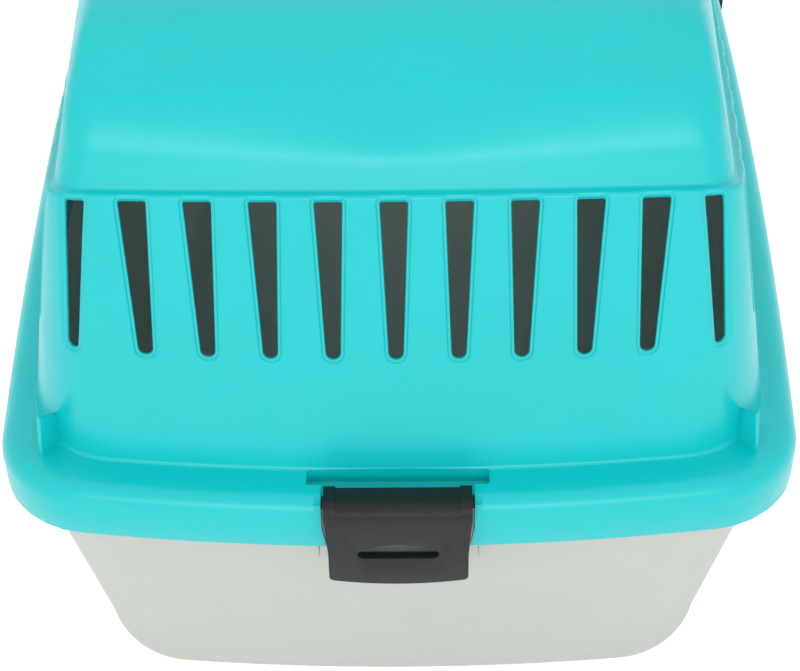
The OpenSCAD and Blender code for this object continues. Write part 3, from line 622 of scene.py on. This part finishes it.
# corners of a fin's face at the foot, the wall and its top
fin = {"face": [(136.3, 213.1, 145.0), (129.8, 205.2, 145.0), (129.6, 201.2, 157.5), (134.7, 211.6, 165.2)],
       "thick": (1.6, -1.2, 0.0), "edge": 0.5}
dimples = {"x": 78.0, "belowBrow": 23.5, "r": 6.6, "depth": 1.25}
lugs = {"axisZ": 310.2, "r": 5.2, "w": 6.0, "half": 75.0, "boreR": 3.08}
surround = {"faceY": 235.0, "half": 104.0, "low": 34.0, "top": 254.0, "t": 3.0, "doorHalf": 90.0, "sill": 48.0, "head": 240.0,
            "seam": 143.6, "lugY": 243.5, "knuckleR": 4.0, "hingeX": -96.5, "hingeY": 239.5, "pinR": 2.4, "keeperX": 86.0,
            "keeperHalf": 7.0, "boltHalf": 4.4, "boltY": (236.2, 240.6), "lugHigh": (245.0, 253.6), "lugLow": (34.4, 43.0)}


def frontBow(b):
    return b * (2 * (surround["half"] - 6) / shell["width"]) ** 2


def shellFront(z):
    rise = z - shell["flangeZ"]
    return shoulderY + shell["lean"] - 1.2 - rise * shell["lean"] / shell["shoulderH"] - frontBow(mix(
        shell["endBow"], shell["upperBow"], rise / shell["shoulderH"]))


def doorLugs(z0, z1):
    s = surround
    hinge = boxPiece("lug", (s["hingeX"] - 4, s["faceY"] - 1, z0), (s["hingeX"] + 4, s["lugY"], z1), bevel=0.5)
    combine(hinge, rodPiece("bore", "z", (s["hingeX"], s["hingeY"]), s["pinR"] + 0.08, z0 - 1, z1 + 1), "DIFFERENCE")
    keeper = boxPiece("lug", (s["keeperX"] - 7, s["faceY"] - 1, z0), (s["keeperX"] + 7, s["lugY"], z1), bevel=0.5)
    bore = boxPiece("bore", (s["keeperX"] - s["boltHalf"], s["boltY"][0], z0 - 1), (s["keeperX"] + s["boltHalf"], s["boltY"][1], z1 + 1))
    combine(keeper, bore, "DIFFERENCE")
    return hinge, keeper


def finishShell():
    body = shellSkin().piece("shell", turquoisePolypropylene)
    d = dimples
    pressDimples(body, [(side * d["x"], d["belowBrow"] - browY) for side in (-1, 1)], d["r"], d["depth"])
    s, front = surround, surround["faceY"]
    # a fin stands out from each corner of the wall
    face, thick = np.array(fin["face"]), fin["thick"]
    for sx in (-1, 1):
        for sy in (-1, 1):
            points = np.vstack([face, face + thick]) * (sx, sy, 1)
            faces = [[3, 2, 1, 0], [4, 5, 6, 7]] + [[i, (i + 1) % 4, 4 + (i + 1) % 4, 4 + i] for i in range(4)]
            faces = faces if sx * sy < 0 else [f[::-1] for f in faces]
            piece = meshPiece("fin", points, faces, turquoisePolypropylene)
            bevelEdges(piece, fin["edge"], 3)
            combine(body, piece, "UNION")
    for side in (-1, 1):
        y = side * (lugs["half"] + lugs["w"] / 2)
        outline = [(-lugs["r"], 304.8), (lugs["r"], 304.8)] + arcPoints(0, lugs["axisZ"], lugs["r"], 0, 180, 16)
        combine(body, prismPiece("lug", outline, -y - lugs["w"] / 2, -y + lugs["w"] / 2, "y", bevel=0.5), "UNION")
    for place in ("rear", "left", "right"):
        for side in (-1, 1):
            x0, x1 = sorted(side * (seat["half"] + seat["room"] + d) for d in (0, seat["cheekT"]))
            cheek = boxPiece("cheek", (x0, 1.5, -seat["cheekDrop"]), (x1, seat["notchY"] - 0.2, -1.0))
            combine(body, moved(cheek, seatMatrix(place)), "UNION")
    half, deep, top = seat["pocketHalf"], seat["pocketDepth"], shell["flangeZ"]
    slab = boxPiece("slab", (-half - 2.2, -240 + seat["notchY"] - 1.4, top - deep - 2.2),
                    (half + 2.2, -219.6, top - 0.6))
    combine(body, slab, "UNION")
    heights = (s["seam"], s["top"])
    outline = [(front, heights[0]), (front, heights[1]), (shellFront(heights[1]), heights[1]),
               (shellFront(heights[0]), heights[0])]
    combine(body, prismPiece("surround", outline, -s["half"], s["half"], "x"), "UNION")
    print("shell joined", len(body.data.polygons))

    # cuts
    foot = seat["half"] + seat["room"] - seat["taper"]
    wide = seat["half"] + seat["room"]
    outline = [(-wide, 15), (-wide, -seat["cheekDrop"]), (-foot, -shell["skirt"]), (-foot, -30), (foot, -30),
               (foot, -shell["skirt"]), (wide, -seat["cheekDrop"]), (wide, 15)]
    for place in ("rear", "left", "right"):
        notch = prismPiece("notch", outline, -seat["notchY"], 10, "y")
        combine(body, moved(notch, seatMatrix(place)), "DIFFERENCE")
        for side in (-1, 1):
            x = side * (wide + seat["cheekT"] / 2)
            bore = rodPiece("bore", "x", (seat["axisY"], seat["axisZ"]), seat["pinR"] + seat["pinGap"], x - 2.4, x + 2.4)
            combine(body, moved(bore, seatMatrix(place)), "DIFFERENCE")
    near, far = -240 + seat["notchY"] - 0.3, shell["flangeEnd"] - shell["length"] / 2
    pocket = boxPiece("pocket", (-half, near, top - deep), (half, far, top + 3), bevel=0.8)
    combine(body, pocket, "DIFFERENCE")
    for side in (-1, 1):
        y = side * (lugs["half"] + lugs["w"] / 2)
        combine(body, rodPiece("bore", "y", (0, lugs["axisZ"]), lugs["boreR"], -y - 4, -y + 4), "DIFFERENCE")
    combine(body, boxPiece("hollow", (s["t"] - s["half"], 175, s["seam"] - 1), (s["half"] - s["t"], front - s["t"], s["top"] - s["t"])), "DIFFERENCE")
    combine(body, boxPiece("doorway", (-s["doorHalf"], 215, s["seam"] - 1), (s["doorHalf"], 255, s["head"])), "DIFFERENCE")
    combine(body, boxPiece("past", (-s["half"] - 0.2, front, s["low"] - 1), (s["half"] + 0.2, 260, s["top"] + 1)), "DIFFERENCE")
    combine(body, boxPiece("under", (-s["half"] - 0.4, 175, 122.5), (s["half"] + 0.4, 260, s["seam"])), "DIFFERENCE")
    finishPiece(body, turquoisePolypropylene)
    for part in doorLugs(*s["lugHigh"]):
        part.name = "shellHinge" if part.data.vertices[0].co.x < 0 else "shellKeeper"
        finishPiece(part, turquoisePolypropylene)
        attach(part, "housing")
        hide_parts("upper_shell")
    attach(body, "housing")
    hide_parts("upper_shell")
    print("shell made", len(body.data.polygons))


finishShell()


# lower tray
tray = {"draft": math.radians(10.75), "topIn": 8.4, "straightZ": 112.0, "r": 34.0, "bend": 18.5, "wall": 2.4, "bowSide": 0.2,
        "bowEnd": 12.9, "rimIn": 4.6, "rimH": 6.0, "rimR": 38.0, "catchZ": -28.6, "catchY": 3.5, "catchT": 2.0,
        "ribAt": 30.4, "ribT": 1.3}


def trayIn(z):
    return tray["topIn"] + (surround["seam"] - min(z, tray["straightZ"])) * math.tan(tray["draft"])


def trayFront(z):
    return shell["length"] / 2 - trayIn(z) - 1.2 - frontBow(tray["bowEnd"])


def trayLoop(inset, r, z, bows=True):
    corners, sides = np.linspace(0, 1, 17)[:-1], np.linspace(0, 1, 21)[:-1]
    q = np.concatenate([k + (corners if k % 2 else sides) for k in range(8)])
    bow = (tray["bowSide"], tray["bowEnd"]) if bows else (None, None)
    return atHeight(planPoints(q, inset, inset, r, *bow), z)


def trayBend(a, t):
    a = math.radians(a)
    z, inset = tray["bend"] * (1 - math.sin(a)), tray["bend"] * (1 - math.cos(a))
    depth = trayIn(tray["bend"]) + inset + t * math.cos(a)
    return trayLoop(depth, max(tray["r"] - inset - t, 5), z + t * math.sin(a))


def makeTray():
    t, seam, straight = tray["wall"], surround["seam"], tray["straightZ"]
    wallLoop = lambda z, t=0.0: trayLoop(trayIn(z) + t, tray["r"] - t, z)
    rows = [trayBend(a, 0) for a in np.linspace(90, 0, 13)]
    rows += [wallLoop(z) for z in (30, 50, 70, 90, 108, straight)] + [trayLoop(trayIn(seam), tray["r"], seam - tray["rimH"])]
    for inset, z in ((0.9, 0), (0.4, 0.15), (0.12, 0.5), (0, 1.0)):
        rows.append(trayLoop(tray["rimIn"] + inset, tray["rimR"], seam - tray["rimH"] + z, False))
    for inset, z in ((0, 1.1), (0.12, 0.5), (0.45, 0.14), (1.0, 0)):
        rows.append(trayLoop(tray["rimIn"] + inset, tray["rimR"] - inset, seam - z, False))
    rows += [trayLoop(trayIn(seam) + t - 0.5, tray["r"] - t, seam), trayLoop(trayIn(seam) + t, tray["r"] - t, seam - 0.5)]
    rows += [wallLoop(z, t) for z in (straight, 90, 60, 30)] + [trayBend(a, t) for a in np.linspace(0, 90, 11)]
    skin = Skin()
    skin.add(rows)
    skin.fan(rows[0], (0, 0, rows[0][0][2]), flip=True)
    skin.fan(rows[-1], (0, 0, rows[-1][0][2]))
    body = skin.piece("tray", greyPolypropylene)
    s, wide = surround, seat["half"] + seat["room"]
    reach = {"rear": trayIn(seam) + 1.2, "left": trayIn(seam) + 1.5 - 2.555, "right": trayIn(seam) + 1.5 - 2.555}
    low = tray["catchZ"] - tray["catchT"]
    for place in ("rear", "left", "right"):
        bar = boxPiece("catch", (2.4 - seat["half"], tray["catchY"], low), (seat["half"] - 2.4, reach[place], tray["catchZ"]), bevel=0.4)
        combine(body, moved(bar, seatMatrix(place)), "UNION")
        for side in (-1, 1):
            x0, x1 = sorted(side * (tray["ribAt"] + d) for d in (0, tray["ribT"]))
            rib = boxPiece("rib", (x0, tray["catchY"], low - 1.4), (x1, reach[place], -shell["skirt"] - 0.8), bevel=0.3)
            combine(body, moved(rib, seatMatrix(place)), "UNION")
    heights = (s["low"], straight, seam)
    outline = [(s["faceY"], heights[0]), (s["faceY"], heights[2])] + [(trayFront(z), z) for z in heights[::-1]]
    combine(body, prismPiece("surround", outline, -s["half"], s["half"], "x"), "UNION")
    for place in ("rear", "left", "right"):
        x = wide + seat["cheekT"] + 0.4
        room = boxPiece("room", (-x, -10, -seat["cheekDrop"] - 0.4), (x, seat["notchY"] + 0.1, 5))
        combine(body, moved(room, seatMatrix(place)), "DIFFERENCE")
    combine(body, boxPiece("pocketRoom", (-37.4, -252, 146 - 9.1), (37.4, -218, 156)), "DIFFERENCE")
    front = s["faceY"]
    combine(body, boxPiece("hollow", (s["t"] - s["half"], 175, s["low"] + s["t"]), (s["half"] - s["t"], front - s["t"], seam + 1)), "DIFFERENCE")
    combine(body, boxPiece("doorway", (-s["doorHalf"], 215, s["sill"]), (s["doorHalf"], 255, seam + 1)), "DIFFERENCE")
    combine(body, boxPiece("past", (-s["half"] - 0.2, front, s["low"] - 1), (s["half"] + 0.2, 260, seam + 1)), "DIFFERENCE")
    finishPiece(body, greyPolypropylene)
    for part in doorLugs(*s["lugLow"]):
        part.name = "trayHinge" if part.data.vertices[0].co.x < 0 else "trayKeeper"
        finishPiece(part, greyPolypropylene)
        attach(part, "housing")
        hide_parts("lower_tray")
    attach(body, "housing")
    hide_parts("lower_tray")
    print("tray made", len(body.data.polygons))


makeTray()


# swing latches
latch = {"half": 27.9, "foot": 26.6, "out": 3.45, "t": 3.2, "top": 1.5, "height": 41.0, "bend": 6.0, "back": 9.2, "toeY": 5.0, "toeT": 2.4, "bossR": 3.4,
         "ear": 4.5, "earRise": 0.9, "footBow": 2.4, "corner": 2.2, "fingerZ": -22.5, "fingerHalf": 15.5, "fingerR": 2.6,
         "fingerRise": 2.6}


def latchProfile(top):
    out, t, bend, foot = latch["out"], latch["t"], latch["bend"], latch["top"] - latch["height"]
    toeTop = tray["catchZ"] - tray["catchT"] - 0.4
    outline = [(latch["back"], top - t), (latch["back"], top)] + arcPoints(bend - out, top - bend, bend, 90, 180, 10)
    outline += [(-out, foot), (-out + t * 0.7, foot), (-out + t, foot + 2), (-out + t, toeTop - latch["toeT"]),
                (latch["toeY"] - 1.5, toeTop - latch["toeT"]), (latch["toeY"], toeTop - 1), (latch["toeY"], toeTop), (-out + t, toeTop)]
    return outline + arcPoints(bend - out, top - bend, bend - t, 180, 90, 10)


def latchFront():
    half, foot, r = latch["half"], latch["foot"], latch["corner"]
    low, bow = latch["top"] - latch["height"], latch["footBow"]
    bowR = (foot * foot + bow * bow) / (2 * bow)
    lean = math.degrees(math.asin((foot - r) / bowR))
    rise = low + bowR - math.sqrt((bowR - r) ** 2 - (foot - r) ** 2)
    right = arcPoints(0, low + bowR, bowR, 270, 270 + lean * 0.985, 12) + arcPoints(foot - r, rise, r, 292, 360, 6)
    right += [(foot, -shell["skirt"]), (half, seat["axisZ"]), (half, 4.0)]
    return right + [(-a, b) for a, b in right[:0:-1]]


def fingerOutline():
    half, r, rise = latch["fingerHalf"], latch["fingerR"], latch["fingerRise"]
    arch = ((half - r) ** 2 + rise * rise) / (2 * rise)
    lean = math.degrees(math.asin((half - r * 1.3) / arch))
    right = arcPoints(half - r, 0, r, 270, 375, 8)
    crown = arcPoints(0, r + rise - arch - 0.3, arch, 90 - lean, 90 + lean, 14)
    outline = right + crown + [(-a, b) for a, b in right[::-1]]
    return [(a, b + latch["fingerZ"]) for a, b in outline]


def makeLatch(place):
    half = latch["half"]
    plate = prismPiece("plate", latchProfile(latch["top"] - latch["earRise"]), latch["ear"] - half, half - latch["ear"], "x",
                       charcoalPolypropylene)
    for x0, x1 in ((-half, latch["ear"] - half + 0.01), (half - latch["ear"] - 0.01, half)):
        combine(plate, prismPiece("ear", latchProfile(latch["top"]), x0, x1, "x", charcoalPolypropylene), "UNION")
    combine(plate, prismPiece("front", latchFront(), -20, 20, "y", charcoalPolypropylene), "INTERSECT")
    combine(plate, prismPiece("finger", fingerOutline(), -5, 5, "y", charcoalPolypropylene), "DIFFERENCE")
    bevelEdges(plate, 0.55, 3, 34)
    centre = (seat["axisY"], seat["axisZ"])
    combine(plate, rodPiece("boss", "x", centre, latch["bossR"], -half + 0.1, half - 0.1, charcoalPolypropylene, 40), "UNION")
    reach = seat["half"] + seat["room"] + seat["cheekT"] - 0.3
    combine(plate, rodPiece("pin", "x", centre, seat["pinR"], -reach, reach, charcoalPolypropylene), "UNION")
    plate.name = place + "Latch"
    finishPiece(plate, charcoalPolypropylene, 36)
    moved(plate, seatMatrix(place))
    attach(plate, place + "_latch")
    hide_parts(place + "_latch")


for place in ("rear", "left", "right"):
    makeLatch(place)
print("latches made")


# grille door with its bolts and their cover
door = {"half": 94.0, "low": 44.0, "top": 244.0, "y": 235.4, "t": 5.0, "stile": 9.0, "boltStile": 15.0, "upright": 9, "cross": 6,
        "barW": 4.0, "barIn": 0.8, "channel": 0.3, "boltX": 86.0, "boltHalf": 4.0, "boltY": (236.6, 240.2), "boltLen": 91.5,
        "boltStart": 8.0, "coverHalf": 46.0, "coverT": 1.0}


def repeatAlongLine():
    group = bpy.data.node_groups.new("repeatAlongLine", "GeometryNodeTree")
    group.interface.new_socket("Geometry", in_out="INPUT", socket_type="NodeSocketGeometry")
    kinds = (("Count", "NodeSocketInt"), ("Start", "NodeSocketVector"), ("Step", "NodeSocketVector"), ("Material", "NodeSocketMaterial"))
    ids = {label: group.interface.new_socket(label, in_out="INPUT", socket_type=kind).identifier for label, kind in kinds}
    group.interface.new_socket("Geometry", in_out="OUTPUT", socket_type="NodeSocketGeometry")
    given = addNode(group, "NodeGroupInput").outputs
    line = addNode(group, "GeometryNodeMeshLine", {"mode": "OFFSET"},
                   {"Count": given["Count"], "Start Location": given["Start"], "Offset": given["Step"]})
    spread = addNode(group, "GeometryNodeInstanceOnPoints", links={"Points": line.outputs[0], "Instance": given["Geometry"]})
    real = addNode(group, "GeometryNodeRealizeInstances", links={"Geometry": spread.outputs[0]})
    coat = addNode(group, "GeometryNodeSetMaterial", links={"Geometry": real.outputs[0], "Material": given["Material"]})
    addNode(group, "NodeGroupOutput", links={"Geometry": coat.outputs[0]})
    return group, ids


def repeated(piece, group, ids, count, start, step, material):
    mod = piece.modifiers.new("repeat", "NODES")
    mod.node_group = group
    mod[ids["Count"]] = count
    mod[ids["Start"]], mod[ids["Step"]] = [c * mm for c in start], [c * mm for c in step]
    mod[ids["Material"]] = material
    applyModifiers(piece)
    return piece


def makeDoor():
    d, s, dark = door, surround, charcoalPolypropylene
    frameOutline = roundedOutline(-d["half"], d["low"], d["half"], d["top"], 2.0, 4)
    body = prismPiece("door", frameOutline, -d["y"] - d["t"], -d["y"], "y", dark)
    x0, x1, z0, z1 = d["stile"] - d["half"], d["half"] - d["boltStile"], d["low"] + d["stile"], d["top"] - d["stile"]
    combine(body, prismPiece("light", roundedOutline(x0, z0, x1, z1, 1.5, 4), -250, -230, "y", dark), "DIFFERENCE")
    gap = d["boltHalf"] + d["channel"]
    channel = boxPiece("channel", (d["boltX"] - gap, d["boltY"][0] - d["channel"], d["low"] - 1), (d["boltX"] + gap, 250, d["top"] + 1))
    combine(body, channel, "DIFFERENCE")
    bevelEdges(body, 0.6, 2)
    for z in (d["low"], d["top"] - 14):
        combine(body, rodPiece("knuckle", "z", (s["hingeX"], s["hingeY"]), s["knuckleR"] - 0.02, z, z + 14, dark, 40), "UNION")
        strap = boxPiece("strap", (s["hingeX"] + 0.5, s["hingeY"] - 4 + 0.1, z + 0.1),
                         (s["hingeX"] + 5, d["y"] + d["t"] - 0.1, z + 13.9), dark)
        combine(body, strap, "UNION")
    for low, high in ((d["top"] - 1, d["top"] + 8), (d["low"] - 8, d["low"] + 1)):
        combine(body, rodPiece("pin", "z", (s["hingeX"], s["hingeY"]), s["pinR"], low, high, dark), "UNION")
    finishPiece(body, dark)
    group, ids = repeatAlongLine()
    y0, y1 = d["y"] + d["barIn"], d["y"] + d["t"] - d["barIn"]
    step = (x1 - x0) / (d["upright"] + 1)
    upright = boxPiece("uprightBars", (-d["barW"] / 2, y0, z0 - 1), (d["barW"] / 2, y1, z1 + 1), dark, 0.9, 3)
    repeated(upright, group, ids, d["upright"], (x0 + step, 0, 0), (step, 0, 0), dark)
    rise = (z1 - z0) / (d["cross"] + 1)
    cross = boxPiece("crossBars", (x0 - 1, y0 + 0.12, -d["barW"] / 2), (x1 + 1, y1 - 0.12, d["barW"] / 2), dark, 0.9, 3)
    repeated(cross, group, ids, d["cross"], (0, 0, z0 + rise), (0, 0, rise), dark)
    for part in (body, upright, cross):
        finishPiece(part, dark)
        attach(part, "door")
        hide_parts("door_grille")
    middle = (s["sill"] + s["head"]) / 2
    outline = roundedOutline(d["boltX"] - 7, middle - d["coverHalf"], d["boltX"] + 7, middle + d["coverHalf"], 1.5, 4)
    cover = prismPiece("boltCover", outline, -d["y"] - d["t"] - d["coverT"], -d["y"] - d["t"], "y", dark)
    for sign in (-1, 1):
        z0, z1 = sorted(middle + sign * z for z in (11.6, 30.4))
        combine(cover, boxPiece("slot", (d["boltX"] - 3.4, 230, z0), (d["boltX"] + 3.4, 250, z1)), "DIFFERENCE")
        bar = sorted(middle + sign * z for z in (d["boltStart"], d["boltStart"] + d["boltLen"]))
        bolt = boxPiece("upperBolt" if sign > 0 else "lowerBolt", (d["boltX"] - 4, d["boltY"][0], bar[0]),
                        (d["boltX"] + 4, d["boltY"][1], bar[1]), dark)
        tab = sorted(middle + sign * z for z in (d["boltStart"] + 4, d["boltStart"] + 14))
        grip = boxPiece("tab", (d["boltX"] - 3, d["boltY"][1] - 0.5, tab[0]), (d["boltX"] + 3, s["lugY"], tab[1]), dark)
        combine(bolt, grip, "UNION")
        bevelEdges(bolt, 0.5, 3)
        finishPiece(bolt, dark)
        name = "upper_bolt" if sign > 0 else "lower_bolt"
        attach(bolt, name)
        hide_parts(name)
    bevelEdges(cover, 0.25, 2)
    finishPiece(cover, dark)
    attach(cover, "door")
    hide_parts("bolt_cover")
    print("door made")


makeDoor()


# carrying handle: one swept rounded bar, wider at the grip
handle = {"z": 310.2, "armY": 68.6, "barX": 46.5, "bend": 14.0, "armW": 12.0, "gripW": 19.0, "t": 7.4, "edge": 2.6, "pinR": 3.0,
          "pinEnd": 80.1}


def makeHandle():
    h = handle
    arms = [(x, h["armY"], 0.0) for x in np.linspace(0, h["barX"] - h["bend"], 7)]
    bend = [(h["barX"] - h["bend"] + h["bend"] * math.sin(a), h["armY"] - h["bend"] + h["bend"] * math.cos(a), a)
            for a in np.linspace(0, math.pi / 2, 11)[1:]]
    start = h["armY"] - h["bend"]
    grip = [(h["barX"], y, math.pi / 2) for y in np.linspace(start, 0, 13)[1:]]
    half = arms + bend + grip
    path = half + [(x, -y, math.pi - a) for x, y, a in half[-2::-1]]
    rows, r = [], h["edge"]
    for x, y, a in path:
        k = min(max((abs(y) - 46.0) / 8.0, 0), 1)
        wide = mix(h["gripW"], h["armW"], k * k * (3 - 2 * k)) / 2
        edgeRound = mix(h["t"] / 2 - 0.02, r, k)
        section = roundedOutline(-wide, -h["t"] / 2, wide, h["t"] / 2, edgeRound, 5)
        side = (math.sin(a), math.cos(a))
        rows.append([(x + side[0] * u, y + side[1] * u, h["z"] + v) for u, v in section])
    # rounded ends round the pivot
    caps = []
    for row, sign in ((rows[0], 1), (rows[-1], -1)):
        y = sign * h["armY"]
        back = [[(-(h["t"] / 2) * math.sin(b), p[1], h["z"] + (p[2] - h["z"]) * math.cos(b)) for p in row]
                for b in np.radians([75, 50, 25])]
        caps.append(back)
    rows = caps[0] + rows + caps[1][::-1]
    skin = Skin()
    skin.add(rows, flip=True)
    skin.fan(rows[0], (-h["t"] / 2, h["armY"], h["z"]))
    skin.fan(rows[-1], (-h["t"] / 2, -h["armY"], h["z"]), flip=True)
    body = skin.piece("handle", charcoalPolypropylene, 36)
    for sign in (-1, 1):
        low, high = sorted(-sign * y for y in (h["armY"], h["pinEnd"]))
        combine(body, rodPiece("pin", "y", (0, h["z"]), h["pinR"], low, high, charcoalPolypropylene), "UNION")
    finishPiece(body, charcoalPolypropylene, 36)
    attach(body, "handle")
    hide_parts("carry_handle")
    print("handle made")


makeHandle()


# white paper in a pale room, lit by two softboxes; camera, glossy and transmitted rays see paper and room as white
stage = {"floor": 6.0, "paper": "#F2F2F2", "paperGlow": 0.6, "room": 0.85, "seen": 1.0, "roof": 0.6, "rear": 12.0}


def seenRays(tree):
    rays = addNode(tree, "ShaderNodeLightPath").outputs
    some = addNode(tree, "ShaderNodeMath", {"operation": "MAXIMUM"}, {0: rays["Is Camera Ray"], 1: rays["Is Glossy Ray"]})
    return addNode(tree, "ShaderNodeMath", {"operation": "MAXIMUM"},
                   {0: some.outputs[0], 1: rays["Is Transmission Ray"]}).outputs[0]


def makeStage():
    mesh = bpy.data.meshes.new("floor")
    s = stage["floor"]
    mesh.from_pydata([(-s, -s, 0), (s, -s, 0), (s, s, 0), (-s, s, 0)], [], [(0, 1, 2, 3)])
    floor = bpy.data.objects.new("floor", mesh)
    bpy.context.scene.collection.objects.link(floor)
    mat = bpy.data.materials.new("whitePaper")
    mat.use_nodes = True
    tree = mat.node_tree
    tree.nodes.clear()
    matt = addNode(tree, "ShaderNodeBsdfDiffuse", {"Color": hexColour(stage["paper"])})
    amount = addNode(tree, "ShaderNodeMath", {"operation": "MULTIPLY", 1: stage["paperGlow"]}, {0: seenRays(tree)})
    glow = addNode(tree, "ShaderNodeEmission", {"Color": (1, 1, 1, 1)}, {"Strength": amount.outputs[0]})
    both = addNode(tree, "ShaderNodeAddShader", links={0: matt.outputs[0], 1: glow.outputs[0]})
    addNode(tree, "ShaderNodeOutputMaterial", links={"Surface": both.outputs[0]})
    mesh.materials.append(mat)
    world = bpy.data.worlds.new("studio")
    bpy.context.scene.world = world
    world.use_nodes = True
    tree = world.node_tree
    tree.nodes.clear()
    level = addNode(tree, "ShaderNodeMix", {"data_type": "FLOAT", 2: stage["room"], 3: stage["seen"]}, {0: seenRays(tree)})
    sky = addNode(tree, "ShaderNodeBackground", {"Color": (1, 1, 1, 1)}, {"Strength": level.outputs[0]})
    addNode(tree, "ShaderNodeOutputWorld", links={"Surface": sky.outputs[0]})


def areaLight(name, place, aim, size, power):
    data = bpy.data.lights.new(name, "AREA")
    data.shape, data.size, data.size_y, data.energy = "RECTANGLE", size[0], size[1], power
    lamp = bpy.data.objects.new(name, data)
    bpy.context.scene.collection.objects.link(lamp)
    lamp.location = place
    lamp.rotation_euler = (Vector(aim) - Vector(place)).to_track_quat("-Z", "Y").to_euler()
    lamp.visible_camera = False


makeStage()
areaLight("roofSoftbox", (0, 0, 1.7), (0, 0, 0.2), (1.5, 1.1), stage["roof"])
areaLight("rearSoftbox", (0, -2.1, 1.0), (0, 0, 0.2), (1.8, 0.6), stage["rear"])
bpy.context.scene.view_settings.view_transform = "Standard"
print("stage made")
